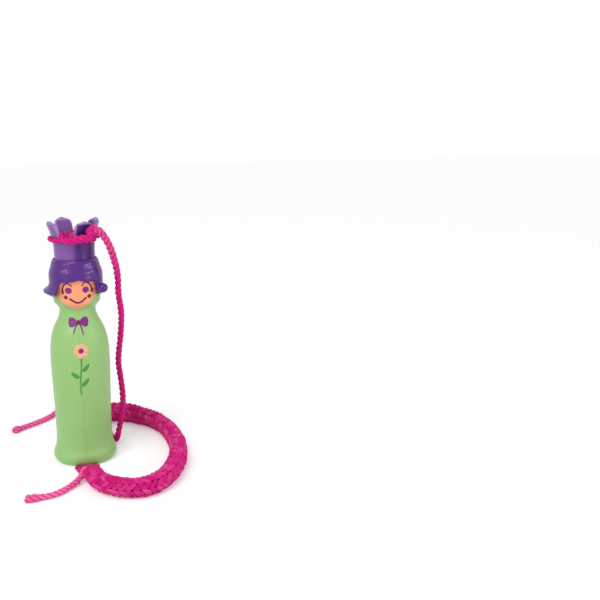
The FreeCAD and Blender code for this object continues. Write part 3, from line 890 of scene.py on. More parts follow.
def ply_section(
    nodes: NodeBuilder, given: bpy.types.NodeOutputs
) -> tuple[Socket, Socket, Socket]:
    """Builds the yarn's section: a ring that dips between the plies.

    Args:
        nodes: The builder of the tree.
        given: What the tree is given.

    Returns:
        The section, how far out each of its points is, and each point's angle.
    """
    ring = nodes.ring(given["Around"], given["Radius"])
    index = nodes.add("GeometryNodeInputIndex").outputs[0]
    angle = nodes.times(nodes.over(index, given["Around"]), FULL_TURN)
    wave = nodes.math("COSINE", nodes.times(angle, nodes.times(given["Plies"], 0.5)))
    lobe = nodes.math("POWER", nodes.math("ABSOLUTE", wave), given["Ply Roundness"])
    hollow = nodes.times(nodes.minus(1.0, lobe), given["Ply Depth"])
    shaped = nodes.moved(ring, Position=nodes.scaled(nodes.position(), nodes.minus(1.0, hollow)))
    section, lobe_here = nodes.captured(shaped, lobe)
    section, angle_here = nodes.captured(section, angle)
    return section, lobe_here, angle_here


def loose_fibres(
    nodes: NodeBuilder,
    given: bpy.types.NodeOutputs,
    surface: Socket,
    density: Socket,
    frayed: Socket,
) -> Socket:
    """Builds the fine fibres that stand out of a yarn.

    Args:
        nodes: The builder of the tree.
        given: What the tree is given.
        surface: The yarn's surface.
        density: How many fibres a square metre of it has.
        frayed: 1 at a frayed end of the yarn and 0 elsewhere.

    Returns:
        The fibres.
    """
    seed = given["Seed"]
    values = {"Mesh": surface, "Density": density, "Seed": seed}
    roots = nodes.add("GeometryNodeDistributePointsOnFaces", values).outputs
    bends = ((0.0, 0.0, -0.2 * MM), (0.2 * MM, 0.0, 0.5 * MM), (0.7 * MM, 0.0, 0.7 * MM))
    fibre = nodes.swept(nodes.bow(3, *bends), nodes.ring(3, 0.05 * MM), width=1.0)
    spin = nodes.random(seed, (-0.7, -0.7, 0.0), (0.7, 0.7, FULL_TURN))
    turned = nodes.add(
        "FunctionNodeRotateRotation",
        {"Rotation": roots["Rotation"], "Rotate By": spin},
        rotation_space="LOCAL",
    )
    unit = nodes.over(given["Fibre Length"], MM)
    size = nodes.times(nodes.random(seed, 0.4, 1.0), unit)
    longer = nodes.plus(1.0, nodes.times(frayed, given["Frayed Growth"]))
    return nodes.instanced(
        Points=roots["Points"],
        Instance=fibre,
        Rotation=turned.outputs[0],
        Scale=nodes.times(size, longer),
    )


def stitch_leg(nodes: NodeBuilder, given: bpy.types.NodeOutputs) -> Socket:
    """Builds one leg of a knitted stitch, upright, with its ends dipping towards -X."""
    rise, bend, ring_count = 6, 0.9, 10
    twist, fibre_length, lobes, lobe_power = 2.5, 6.0, 1.5, 0.6
    tip, body, girth_power = 0.15, 0.7, 0.6
    half = nodes.times(given["Leg Length"], 0.5)
    dip = nodes.times(given["Leg Radius"], -bend)
    low = nodes.xyz(X=dip, Z=nodes.times(half, -1.0))
    crest = nodes.xyz(X=nodes.times(given["Leg Radius"], bend))
    share = nodes.add("GeometryNodeSplineParameter").outputs["Factor"]
    line, share_here = nodes.captured(nodes.bow(rise, low, crest, nodes.xyz(X=dip, Z=half)), share)
    index = nodes.add("GeometryNodeInputIndex").outputs[0]
    angle = nodes.times(index, FULL_TURN / ring_count)
    section, angle_here = nodes.captured(nodes.ring(ring_count, given["Leg Radius"]), angle)
    inner_share = nodes.plus(nodes.times(share, body), tip)
    girth = nodes.math("SINE", nodes.times(inner_share, math.pi))
    surface = nodes.swept(line, section, nodes.math("POWER", girth, girth_power))
    rolled = nodes.plus(angle_here, nodes.times(share_here, twist))
    strand = nodes.in_strand(nodes.times(share_here, fibre_length), rolled)
    surface = nodes.stored(surface, "strand", strand, "FLOAT_VECTOR")
    lobe = nodes.math("ABSOLUTE", nodes.math("COSINE", nodes.times(rolled, lobes)))
    return nodes.stored(surface, "ply", nodes.math("POWER", lobe, lobe_power))


def knitted_cord_tree() -> Tree:
    """Builds the tree that knits a round cord along a curve, in columns of V stitches."""
    nodes, given, result = new_group(
        "knitted_cord",
        "Geometry",
        {
            "Geometry": "NodeSocketGeometry",
            "Wale Radius": 4.3 * MM,
            "Core Radius": 3.2 * MM,
            "Row Length": 3.5 * MM,
            "Columns": 4,
            "Leg Length": 6.2 * MM,
            "Leg Radius": 1.45 * MM,
            "Lean": math.radians(30),
            "Wander": 0.22 * MM,
            "Paleness": 0.6,
            "Seed": 11,
            "Material": "NodeSocketMaterial",
        },
        {"Geometry": "NodeSocketGeometry"},
    )
    values = {"Curve": given["Geometry"], "Length": given["Row Length"]}
    rows = nodes.add("GeometryNodeCurveToPoints", values, mode="LENGTH").outputs
    width = nodes.add("GeometryNodeInputRadius").outputs[0]
    points, ahead = nodes.captured(rows["Points"], rows["Tangent"], "VECTOR")
    points, level = nodes.captured(points, rows["Normal"], "VECTOR")
    points, row_width = nodes.captured(points, width)
    legs = nodes.times(given["Columns"], 2.0)
    values = {"Geometry": points, "Amount": legs}
    copies = nodes.add("GeometryNodeDuplicateElements", values, domain="POINT").outputs
    number = copies["Duplicate Index"]
    side = nodes.minus(nodes.times(nodes.math("MODULO", number, 2.0), 2.0), 1.0)
    angle = nodes.times(nodes.over(nodes.plus(number, 0.5), legs), FULL_TURN)
    across = nodes.vector("CROSS_PRODUCT", ahead, level)
    outward = turned_between(nodes, level, across, angle)
    sideways = nodes.vector("CROSS_PRODUCT", ahead, outward)
    reach = nodes.scaled(outward, nodes.times(given["Wale Radius"], row_width))
    wander = nodes.random(given["Seed"], (-1.0, -1.0, -1.0), (1.0, 1.0, 1.0))
    offset = nodes.vector("ADD", reach, nodes.scaled(wander, given["Wander"]))
    heading = turned_between(nodes, ahead, sideways, nodes.times(given["Lean"], side))
    upright = nodes.add("FunctionNodeAlignRotationToVector", {"Vector": heading}, axis="Z")
    faced = nodes.add(
        "FunctionNodeAlignRotationToVector",
        {"Rotation": upright.outputs[0], "Vector": outward},
        axis="X",
        pivot_axis="Z",
    )
    stitches = nodes.instanced(
        Points=nodes.moved(copies["Geometry"], Offset=offset),
        Instance=stitch_leg(nodes, given),
        Rotation=faced.outputs[0],
    )
    # A random paleness for each stitch, which also sets its painted highlight on the ply crests and
    # eases its painted groove shade.
    shade = nodes.random(given["Seed"], 0.0, given["Paleness"])
    stitches = nodes.stored(stitches, "shade", shade, domain="INSTANCE")
    parts = (stitches, cord_core(nodes, given))
    nodes.feed(result, {"Geometry": nodes.finished(parts, given["Material"])})
    return nodes.tree


def turned_between(nodes: NodeBuilder, start: Socket, end: Socket, angle: Socket) -> Socket:
    """Returns the first vector turned by an angle towards the second, which is square to it."""
    first = nodes.scaled(start, nodes.math("COSINE", angle))
    return nodes.vector("ADD", first, nodes.scaled(end, nodes.math("SINE", angle)))


def cord_core(nodes: NodeBuilder, given: bpy.types.NodeOutputs) -> Socket:
    """Builds the plain core that fills a knitted cord between its stitches, coloured with painted shade:
    the dark groove colour shows in the gaps between the stitches.
    """
    step, sides, groove_shade_ply = 1.5 * MM, 16, 0.1
    line = nodes.stepped(given["Geometry"], step)
    surface = nodes.swept(line, nodes.ring(sides, given["Core Radius"]))
    place = nodes.scaled(nodes.position(), 1 / MM)
    surface = nodes.stored(surface, "strand", place, "FLOAT_VECTOR")
    return nodes.stored(surface, "ply", groove_shade_ply)


def rested(height: float) -> float:
    """Returns a height after soft yarn has settled flat on the floor.

    Args:
        height: The height before that, in metres.

    Returns:
        The same height well above the floor, and less and less of it towards the floor.
    """
    soft, least = 0.8 * MM, 0.05 * MM
    if height > soft:
        return height
    return least + (soft - least) * math.exp((height - soft) / (soft - least))


class Workshop:
    """The shared trees and materials that the sub-assemblies are made with."""

    def __init__(self) -> None:
        """Builds the trees and the materials."""
        effects = Effects()
        self.plied = plied_yarn_tree()
        self.knitted = knitted_cord_tree()
        self.materials = {finish.name: finish.material(effects) for finish in FINISHES}

    def grown(self, name: str, route: Route, values: dict[str, object], knitted: bool) -> Piece:
        """Spins plied yarn or knits a cord along a route, as a plain mesh object.

        Args:
            name: The new piece's name.
            route: The line that it follows.
            values: The geometry tree's input names, to their values.
            knitted: Whether it is knitted.

        Returns:
            The piece.
        """
        tree, finish = (self.knitted, KNIT_MAGENTA) if knitted else (self.plied, MAGENTA)
        wanted = {**values, "Material": self.materials[finish.name]}
        curve = route.curve(f"{name}_route")
        modifier = curve.modifiers.new("grow", "NODES")
        modifier.node_group = tree
        for socket in tree.interface.items_tree:
            if socket.in_out == "INPUT" and socket.name in wanted:
                modifier[socket.identifier] = wanted[socket.name]
        depsgraph = bpy.context.evaluated_depsgraph_get()
        mesh = bpy.data.meshes.new_from_object(
            curve.evaluated_get(depsgraph), preserve_all_data_layers=True, depsgraph=depsgraph
        )
        mesh.name = name
        for vertex in mesh.vertices:
            vertex.co.z = rested(vertex.co.z)
        bpy.data.curves.remove(curve.data)
        return linked(name, mesh)


def report(piece: Piece) -> None:
    """Logs one finished piece."""
    log.info("%s: %d faces", piece.name, len(piece.data.polygons))


# ---------------------------------------------------------------- camera


@dataclass(frozen=True)
class StudioCamera:
    """The camera: where it stands, its turn from +Y towards +X, its dip and its roll."""

    place: Point = (0.0, -0.55644, 0.21536)
    turn: float = math.radians(14.086)
    dip: float = math.radians(12.062)
    roll: float = math.radians(-0.25)
    focal_pixels: float = 908.0
    sensor: float = 36.0

    def build(self) -> None:
        """Makes the camera and hands it to the scene."""
        data = bpy.data.cameras.new("studio_camera")
        data.sensor_width = self.sensor
        data.lens = self.focal_pixels / IMAGE_SIDE * self.sensor
        data.clip_start, data.clip_end = 0.01, 50.0
        camera = linked("studio_camera", data)
        level = math.cos(self.dip)
        ahead = (math.sin(self.turn) * level, math.cos(self.turn) * level, -math.sin(self.dip))
        camera.location = self.place
        camera.rotation_mode = "QUATERNION"
        level_view = Vector(ahead).to_track_quat("-Z", "Y")
        camera.rotation_quaternion = level_view @ Quaternion((0.0, 0.0, 1.0), self.roll)
        bpy.context.scene.camera = camera


# ---------------------------------------------------------------- yarn and cords


@dataclass
class Strand:
    """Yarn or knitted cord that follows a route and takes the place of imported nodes."""

    name: str
    route: Route
    stands_for: tuple[str, ...]
    body: Body = Body.DOLL
    knitted: bool = True
    values: dict[str, object] = field(default_factory=dict)

    def settled(self, place: Vector) -> Vector:
        """Returns where a point of the piece comes to rest."""
        return place

    def carry(self, piece: Piece) -> None:
        """Says what carries the piece."""
        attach(piece, self.body.value)

    def build(self, shop: Workshop) -> Piece:
        """Makes the piece.

        Args:
            shop: The shared trees and materials.

        Returns:
            The piece.
        """
        piece = shop.grown(self.name, self.route, self.values, self.knitted)
        for vertex in piece.data.vertices:
            vertex.co = self.settled(vertex.co)
        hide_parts(*self.stands_for)
        self.carry(piece)
        report(piece)
        return piece


@dataclass
class FreeCord(Strand):
    """A strand that lies free."""

    diameter: float = YARN_DIAMETER
    far_end: str = "bare"

    def build(self, shop: Workshop) -> Piece:
        """Makes the cord, and works out the settled line it runs along without using it."""
        cord = super().build(shop)
        line = [self.settled(Vector(point)) for point in self.route.line()]
        return cord


@dataclass
class FinishedCord(FreeCord):
    """The i-cord on the floor, from the outlet at the back round to the front of the hem."""

    name: str = "i_cord_knit"
    route: Route = I_CORD_ROUTE
    stands_for: tuple[str, ...] = ("i_cord",)
    diameter: float = CORD_DIAMETER
    far_end: str = "object"
    tuck_start: float = -0.0480
    tuck_end: float = -0.0198
    tuck_middle: float = 0.0006
    tuck_height: float = 0.12
    tuck_width: float = 1.35

    def settled(self, place: Vector) -> Vector:
        """Flattens a point of the cord's last stretch, where it lies squashed against the hem."""
        if place.y < self.tuck_start or abs(place.x) > 2 * CORD_DIAMETER or place.y > 0:
            return place
        share = min(1.0, (place.y - self.tuck_start) / (self.tuck_end - self.tuck_start))
        ease = share * share * (3 - 2 * share)
        middle = self.tuck_middle
        wide = middle + (place.x - middle) * (1 + (self.tuck_width - 1) * ease)
        return Vector((wide, place.y, place.z * (1 + (self.tuck_height - 1) * ease)))


@dataclass
class WorkingYarn(FreeCord):
    """The yarn that feeds the pegs: over the crown's side, down to the floor and over the cord."""

    name: str = "working_yarn_plied"
    route: Route = YARN_ROUTE
    stands_for: tuple[str, ...] = ("yarn_start", "working_yarn")
    knitted: bool = False
    turns_with_crown_until: Point = (0.0146, -0.0137, 0.1442)
    stands_from: Point = (0.0236, -0.0056, 0.1224)
    values: dict[str, object] = field(
        default_factory=lambda: {"Paler Length": 62.0 * MM, "Frayed Length": 6.0 * MM, "Seed": 3}
    )

    def carry(self, piece: Piece) -> None:
        """Applies the yarn's placement to its mesh and leaves it on no body."""
        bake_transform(piece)


@dataclass
class CastOnTail(FreeCord):
    """The tail of yarn at the cord's first row, with a frayed end."""

    name: str = "cast_on_tail_plied"
    route: Route = TAIL_ROUTE
    stands_for: tuple[str, ...] = ("cast_on_tail",)
    knitted: bool = False
    values: dict[str, object] = field(
        default_factory=lambda: {"Paler Length": 60.0 * MM, "Frayed Length": 10.0 * MM, "Seed": 8}
    )


@dataclass
class KnitFunnel(Strand):
    """The knitting inside the crown, narrowing from the pegs to the cord."""

    name: str = "knit_funnel_stitches"
    route: Route = FUNNEL_ROUTE
    stands_for: tuple[str, ...] = ("knit_funnel",)
    body: Body = Body.CROWN
    values: dict[str, object] = field(
        default_factory=lambda: {"Core Radius": 2.6 * MM, "Seed": 21}
    )


@dataclass
class InnerCord(Strand):
    """The finished cord inside the doll, down to the outlet."""

    name: str = "inner_cord_knit"
    route: Route = INNER_CORD_ROUTE
    stands_for: tuple[str, ...] = ("inner_cord",)
    values: dict[str, object] = field(default_factory=lambda: {"Seed": 31})


# ---------------------------------------------------------------- yarn on the pegs


def around(degrees: float, radius: float, height: float) -> Point:
    """Returns a point from its angle from +X, and its radius and height in millimetres."""
    angle = math.radians(degrees)
    return radius * MM * math.cos(angle), radius * MM * math.sin(angle), height * MM


@dataclass(frozen=True)
class PegLoop:
    """How the yarn lies round one peg: the peg's angle, the yarn's height and its thickness."""

    angle: float
    height: float
    width: float = 0.85


@dataclass
class PegKnitting:
    """The yarn on the pegs: a loop wound round each peg and a strand laid across one of them.

    Radii and heights are in millimetres, and angles are in degrees.
    """

    loops: tuple[PegLoop, ...] = (
        PegLoop(116.0, 138.2),
        PegLoop(206.0, 138.7, 0.72),
        PegLoop(296.0, 138.8, 0.95),
        PegLoop(386.0, 139.4),
    )
    outside: float = 14.6
    inside: float = 8.8
    gap: float = 12.4
    thin_width: float = 0.8
    thin_share: float = 0.965

    def _wound(self) -> Route:
        """Returns the closed line that is wound once round every peg in turn."""
        points, widths = [], []
        for loop in self.loops:
            outside = self.outside * (self.thin_share if loop.width < self.thin_width else 1.0)
            steps = (
                (-46, self.inside - 0.4, 0.2), (-15, self.inside, -0.6),
                (20, self.inside + 0.3, -0.5), (38, self.gap - 1.6, 0.0),
                (36, self.gap + 1.4, 0.1), (21, outside, 0.1),
                (0, outside, 0.0), (-21, outside, 0.1),
                (-36, self.gap + 1.4, 0.2), (-38, self.gap - 1.6, 0.4),
                (-20, self.inside + 0.5, 0.9), (14, self.inside + 0.2, 0.9),
            )
            for turn, radius, lift in steps:
                points.append(around(loop.angle + turn, radius, loop.height + lift))
                widths.append(loop.width)
        return Route(tuple(points), widths=tuple(widths), closed=True)

    def _laid(self) -> Route:
        """Returns the strand that comes out between two pegs and runs on as the working yarn."""
        steps = (
            (218, 8.6, 141.2), (227, 9.6, 142.2), (233, 11.8, 141.7), (241, 14.2, 140.2),
            (251, 15.3, 138.8), (262, 15.4, 138.7), (271, 15.8, 139.3), (281, 16.2, 140.1),
            (291, 16.3, 140.4), (299, 16.4, 140.0),
        )
        arch = (
            (0.0093, -0.0149, 0.1409), (0.0091, -0.0154, 0.1434), (0.0098, -0.0157, 0.1454),
            YARN_ROUTE.points[0], (0.0122, -0.0149, 0.1457),
        )
        return Route(
            tuple(around(*step) for step in steps) + arch,
            widths=(0.8, 0.8, 0.85, 0.95, 1.0, 1.05, 1.15, 1.2, 1.15, 1.0)
            + (1.1, 1.15, 1.15, 1.1, 1.04),
        )

    def build(self, shop: Workshop) -> None:
        """Spins both strands and joins them into one piece.

        Args:
            shop: The shared trees and materials.
        """
        piece = shop.grown("peg_stitches_plied", self._wound(), {"Seed": 5}, knitted=False)
        laid = shop.grown("laid_strand", self._laid(), {"Seed": 6}, knitted=False)
        with bpy.context.temp_override(
            active_object=piece, selected_editable_objects=[piece, laid]
        ):
            bpy.ops.object.join()
        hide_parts("peg_stitches")
        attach(piece, Body.CROWN.value)
        report(piece)


# ---------------------------------------------------------------- plastic pieces


@dataclass
class PlasticParts:
    """The moulded pieces: the shells and the crown as they are, and the hair with softer edges."""

    voxel: float = 0.36 * MM
    soften: int = 18

    def _hair(self, material: Material) -> Piece:
        """Makes the hair with the soft edges of a moulded bob."""
        mesh = bpy.data.meshes.new("hair_bob")
        surface = bmesh.new()
        surface.from_mesh(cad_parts["hair_cap"].data)
        bmesh.ops.remove_doubles(surface, verts=surface.verts, dist=MM / 1000)
        surface.to_mesh(mesh)
        surface.free()
        hair = linked("hair_bob", mesh)
        remesh = hair.modifiers.new("even", "REMESH")
        remesh.mode = "VOXEL"
        remesh.voxel_size = self.voxel
        remesh.use_smooth_shade = True
        soft = hair.modifiers.new("soft", "SMOOTH")
        soft.factor = 0.5
        soft.iterations = self.soften
        depsgraph = bpy.context.evaluated_depsgraph_get()
        smooth = bpy.data.meshes.new_from_object(hair.evaluated_get(depsgraph))
        hair.modifiers.clear()
        hair.data = smooth
        bpy.data.meshes.remove(mesh)
        smooth.name = "hair_bob"
        smooth.materials.clear()
        smooth.materials.append(material)
        return hair

    def build(self, shop: Workshop) -> None:
        """Dresses the shells and the crown, and makes the hair.

        Args:
            shop: The shared trees and materials.
        """
        plastics = {"body_left_shell": GREEN, "body_right_shell": GREEN, "peg_crown": CROWN_PURPLE}
        for node, finish in plastics.items():
            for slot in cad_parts[node].material_slots:
                slot.material = shop.materials[finish.name]
        hair = self._hair(shop.materials[HAIR_PURPLE.name])
        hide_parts("hair_cap")
        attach(hair, Body.DOLL.value)
        report(hair)


# ---------------------------------------------------------------- paint


@dataclass
class Painter:
    """Lays thin coats of paint on the front of the doll, from outlines in millimetres."""

    shop: Workshop
    step: float = 0.55
    proud: float = 0.05
    sunk: float = 0.06
    reach: float = 0.05
    trees: list[BVHTree] = field(default_factory=list)

    def __post_init__(self) -> None:
        """Reads the shells' surfaces."""
        for node in ("body_left_shell", "body_right_shell"):
            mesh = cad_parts[node].data
            points = [vertex.co for vertex in mesh.vertices]
            faces = [tuple(face.vertices) for face in mesh.polygons]
            self.trees.append(BVHTree.FromPolygons(points, faces))

    def _seat(self, across: float, height: float) -> tuple[Vector, Vector]:
        """Finds the front of the doll behind a point seen from the front.

        Args:
            across: The point's place to the right, in millimetres.
            height: Its height, in millimetres.

        Returns:
            The place on the surface and the way outwards, level with the floor.
        """
        start = Vector((across * MM, -self.reach, height * MM))
        hits = (tree.ray_cast(start, Vector((0, 1, 0)), self.reach)[0] for tree in self.trees)
        best = min((place for place in hits if place is not None), key=lambda place: place.y)
        return best, Vector((best.x, best.y, 0)).normalized()

    def coat(self, name: str, paint: Paint, outlines: list[list[Flat]], lift: float = 0.0) -> None:
        """Lays one coat.

        Args:
            name: The piece's name.
            paint: Its paint.
            outlines: Closed outlines, each a list of points seen from the front.
            lift: How much higher it lies than a first coat, in millimetres.
        """
        surface = bmesh.new()
        for outline in outlines:
            self._add_coat(surface, outline, lift)
        bmesh.ops.recalc_face_normals(surface, faces=surface.faces)
        mesh = bpy.data.meshes.new(name)
        surface.to_mesh(mesh)
        surface.free()
        mesh.materials.append(self.shop.materials[paint.name])
        mesh.shade_smooth()
        coat = linked(name, mesh)
        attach(coat, Body.DOLL.value)
        report(coat)

    def _add_coat(self, surface: bmesh.types.BMesh, outline: list[Flat], lift: float) -> None:
        """Adds one closed slab of paint over an outline."""
        edge = divided(outline, self.step)
        flat = [Vector(point) for point in edge + grid_in(edge, self.step)]
        inside_only, nearness = 1, 1e-7
        points, _, faces, *_ = delaunay_2d_cdt(
            flat, [], [list(range(len(edge)))], inside_only, nearness
        )
        tops, feet = [], []
        for across, height in points:
            seat, outward = self._seat(across, height)
            tops.append(surface.verts.new(seat + outward * (self.proud + lift) * MM))
            feet.append(surface.verts.new(seat - outward * self.sunk * MM))
        uses: dict[tuple[int, int], int] = {}
        for face in faces:
            surface.faces.new([tops[index] for index in face])
            surface.faces.new([feet[index] for index in reversed(face)])
            for first, second in zip(face, (*face[1:], face[0])):
                side = (min(first, second), max(first, second))
                uses[side] = uses.get(side, 0) + 1
        for (first, second), count in uses.items():
            if count == 1:
                surface.faces.new([tops[first], tops[second], feet[second], feet[first]])


def divided(outline: list[Flat], step: float) -> list[Flat]:
    """Returns a closed outline with points no further apart than a step."""
    points = []
    for start, end in zip(outline, outline[1:] + outline[:1]):
        parts = max(1, math.ceil(math.dist(start, end) / step))
        for share in (part / parts for part in range(parts)):
            points.append(tuple(a + (b - a) * share for a, b in zip(start, end)))
    return points


def grid_in(outline: list[Flat], step: float) -> list[Flat]:
    """Returns the points of a square grid that lie well inside an outline."""
    margin = 0.45 * step
    lows = [min(point[axis] for point in outline) for axis in (0, 1)]
    highs = [max(point[axis] for point in outline) for axis in (0, 1)]
    columns, rows = (int((high - low) / step) + 1 for low, high in zip(lows, highs))
    places = [
        (lows[0] + column * step, lows[1] + row * step)
        for column in range(1, columns)
        for row in range(1, rows)
    ]
    return [
        place
        for place in places
        if inside(place, outline) and all(math.dist(place, point) > margin for point in outline)
    ]


def inside(place: Flat, outline: list[Flat]) -> bool:
    """Says whether a point lies inside a closed outline."""
    crossings = 0
    for (x1, y1), (x2, y2) in zip(outline, outline[1:] + outline[:1]):
        if (y1 > place[1]) != (y2 > place[1]):
            crossings += place[0] < x1 + (place[1] - y1) * (x2 - x1) / (y2 - y1)
    return crossings % 2 == 1


def smoothed(points: list[Flat], closed: bool, cuts: int = 3) -> list[Flat]:
    """Rounds a line's corners by cutting them again and again.

    Args:
        points: The line.
        closed: Whether its end joins its start.
        cuts: How often every corner is cut.

    Returns:
        The rounded line.
    """
    near, far = 0.75, 0.25
    for _ in range(cuts):
        pairs = list(zip(points, points[1:] + (points[:1] if closed else [])))
        cut = [] if closed else [points[0]]
        for (x1, y1), (x2, y2) in pairs:
            cut.append((near * x1 + far * x2, near * y1 + far * y2))
            cut.append((far * x1 + near * x2, far * y1 + near * y2))
        points = cut if closed else cut + [points[-1]]
    return points


def disc(across: float, height: float, wide: float, high: float | None = None) -> list[Flat]:
    """Returns a round or oval outline from its middle and its half width and half height."""
    high = wide if high is None else high
    count = 28
    turns = (FULL_TURN * step / count for step in range(count))
    return [(across + wide * math.cos(turn), height + high * math.sin(turn)) for turn in turns]


def stroke(points: list[Flat], width: float, taper: float = 1.0) -> list[Flat]:
    """Returns the outline of a brush stroke with round ends.

    Args:
        points: The stroke's middle line.
        width: Its width.
        taper: How wide its last end is, as a share of the width.

    Returns:
        The outline.
    """
    line = smoothed(points, closed=False)
    left, right = [], []
    for number, (x, y) in enumerate(line):
        before, after = line[max(0, number - 1)], line[min(len(line) - 1, number + 1)]
        run = (after[0] - before[0], after[1] - before[1])
        size = math.hypot(*run)
        half = width / 2 * (1 + (taper - 1) * number / (len(line) - 1))
        side = (-run[1] / size * half, run[0] / size * half)
        left.append((x + side[0], y + side[1]))
        right.append((x - side[0], y - side[1]))
    last_end = round_end(line[-2], line[-1], width / 2 * taper)
    return left + last_end + right[::-1] + round_end(line[1], line[0], width / 2)


def round_end(before: Flat, end: Flat, radius: float) -> list[Flat]:
    """Returns the points round the end of a stroke, from its left side to its right."""
    heading = math.atan2(end[1] - before[1], end[0] - before[0])
    turns = (heading + turn for turn in (math.pi / 4, 0.0, -math.pi / 4))
    return [(end[0] + radius * math.cos(turn), end[1] + radius * math.sin(turn)) for turn in turns]


@dataclass
class Face:
    """The doll's painted face, in millimetres."""

    painter: Painter
    line_width: float = 1.1
    lash_width: float = 0.95
    taper: float = 0.6
    lift: float = 0.05
    cheek: float = 1.15

    def build(self) -> None:
        """Paints the skin, then the eyes, lashes, cheeks and smile."""
        skin = [
            (-12.6, 108.2), (-11.6, 105.2), (-8.9, 102.0), (-4.9, 99.0), (-1.6, 97.4), (1.4, 97.4),
            (4.6, 99.1), (8.9, 102.3), (11.9, 106.6), (12.3, 110.0), (12.3, 116.2), (-12.6, 116.2),
        ]
        self.painter.coat("face_skin", PEACH, [smoothed(skin, closed=True, cuts=2)])
        eyes = [disc(-4.7, 109.2, 2.0, 1.9), disc(5.2, 109.3, 1.9, 1.9)]
        self.painter.coat("face_eyes", PLUM, eyes, lift=self.lift)
        left_lid = [
            (-7.7, 107.5), (-8.1, 109.2), (-8.0, 110.9), (-7.3, 112.3),
            (-6.1, 113.3), (-4.8, 113.3), (-3.7, 112.8), (-2.8, 111.8),
        ]
        right_lid = [
            (8.6, 107.9), (8.8, 109.5), (8.3, 111.2), (7.4, 112.8),
            (6.2, 113.8), (4.9, 113.9), (4.0, 113.2), (3.2, 111.8),
        ]
        left_lashes = [[(-7.9, 108.9), (-9.0, 108.6)], [(-7.6, 107.7), (-8.7, 107.3)]]
        right_lashes = [[(8.5, 109.3), (9.5, 109.1)], [(8.4, 108.1), (9.4, 107.8)]]
        smile = [
            (-4.1, 104.1), (-2.9, 103.3), (-1.5, 102.3), (0.1, 101.7),
            (1.7, 101.9), (3.2, 102.8), (5.1, 104.4),
        ]
        lines = []
        for lid, lashes in ((left_lid, left_lashes), (right_lid, right_lashes)):
            lines.append(stroke(lid, self.line_width, self.taper))
            lines += [stroke(lash, self.lash_width, self.taper) for lash in lashes]
        lines.append(stroke(smile, self.line_width))
        lines += [disc(-6.4, 105.1, self.cheek), disc(7.1, 105.2, self.cheek)]
        self.painter.coat("face_lines", WINE, lines, lift=self.lift)


@dataclass
class DressPrint:
    """A plain print of the maker's own: a bow at the neck and a daisy on a leafy stem."""

    painter: Painter
    daisy: Flat = (0.6, 73.0)
    petal_count: int = 6
    petal_reach: float = 4.6
    petal_width: float = 2.1
    petal_shape: tuple[Flat, ...] = (
        (1.3, 0.35), (3.0, 1.0), (4.6, 0.62), (4.6, -0.62), (3.0, -1.0), (1.3, -0.35)
    )
    lift: float = 0.05
    ribbon_width: float = 1.0
    stem_width: float = 0.9

    def _petals(self) -> list[list[Flat]]:
        """Returns the daisy's petals."""
        petals = []
        for number in range(self.petal_count):
            angle = FULL_TURN * (number + 0.25) / self.petal_count
            ahead = (math.cos(angle), math.sin(angle))
            side = (-ahead[1], ahead[0])
            outline = []
            for along, across in self.petal_shape:
                forward = along / self.petal_shape[2][0] * self.petal_reach
                beside = across * self.petal_width
                outline.append(
                    tuple(self.daisy[k] + ahead[k] * forward + side[k] * beside for k in (0, 1))
                )
            petals.append(smoothed(outline, closed=True, cuts=2))
        return petals

    def build(self) -> None:
        """Paints the bow, the daisy and its stem."""
        loop = [(0.3, 89.6), (2.2, 92.3), (5.4, 92.6), (5.9, 89.4), (5.2, 86.6), (2.2, 87.3)]
        bow = [
            smoothed(loop, True, 2),
            smoothed([(-across, height) for across, height in loop], True, 2),
            stroke([(0.7, 88.6), (1.8, 86.2), (2.4, 82.6)], self.ribbon_width, 0.7),
            stroke([(-0.7, 88.6), (-2.0, 86.6), (-3.2, 83.4)], self.ribbon_width, 0.7),
        ]
        self.painter.coat("print_bow", PLUM, bow)
        self.painter.coat("print_bow_knot", WINE, [disc(0.0, 89.6, 1.15, 1.3)], lift=self.lift)
        self.painter.coat("print_petals", BLOSSOM, self._petals())
        self.painter.coat("print_daisy_eye", PLUM, [disc(*self.daisy, 1.5)], lift=self.lift)
        stem = [(0.6, 67.9), (0.3, 62.0), (-0.9, 54.0), (-0.6, 46.0)]
        leaves = (
            [(0.0, 60.4), (2.2, 63.6), (5.4, 65.6), (4.4, 62.0), (2.2, 60.0)],
            [(-0.5, 57.0), (-3.0, 59.4), (-6.2, 60.6), (-5.0, 57.4), (-2.6, 55.8)],
            [(-0.8, 51.4), (1.6, 54.6), (4.8, 56.4), (3.8, 53.0), (1.6, 50.8)],
        )
        greens = [stroke(stem, self.stem_width, 0.8), *(smoothed(leaf, True, 2) for leaf in leaves)]
        self.painter.coat("print_leaves", LEAF, greens)


# ---------------------------------------------------------------- studio


def add_lamp(name: str, kind: str, away: Vector, **settings: float | str) -> Piece:
    """Makes a lamp that shines back along a direction.

    Args:
        name: The lamp's name.
        kind: Its type.
        away: The direction from the doll to the lamp.
        **settings: The lamp's own properties.

    Returns:
        The lamp.
    """
    data = bpy.data.lights.new(name, kind)
    for key, value in settings.items():
        setattr(data, key, value)
    lamp = linked(name, data)
    lamp.rotation_mode = "QUATERNION"
    lamp.rotation_quaternion = away.to_track_quat("Z", "Y")
    return lamp


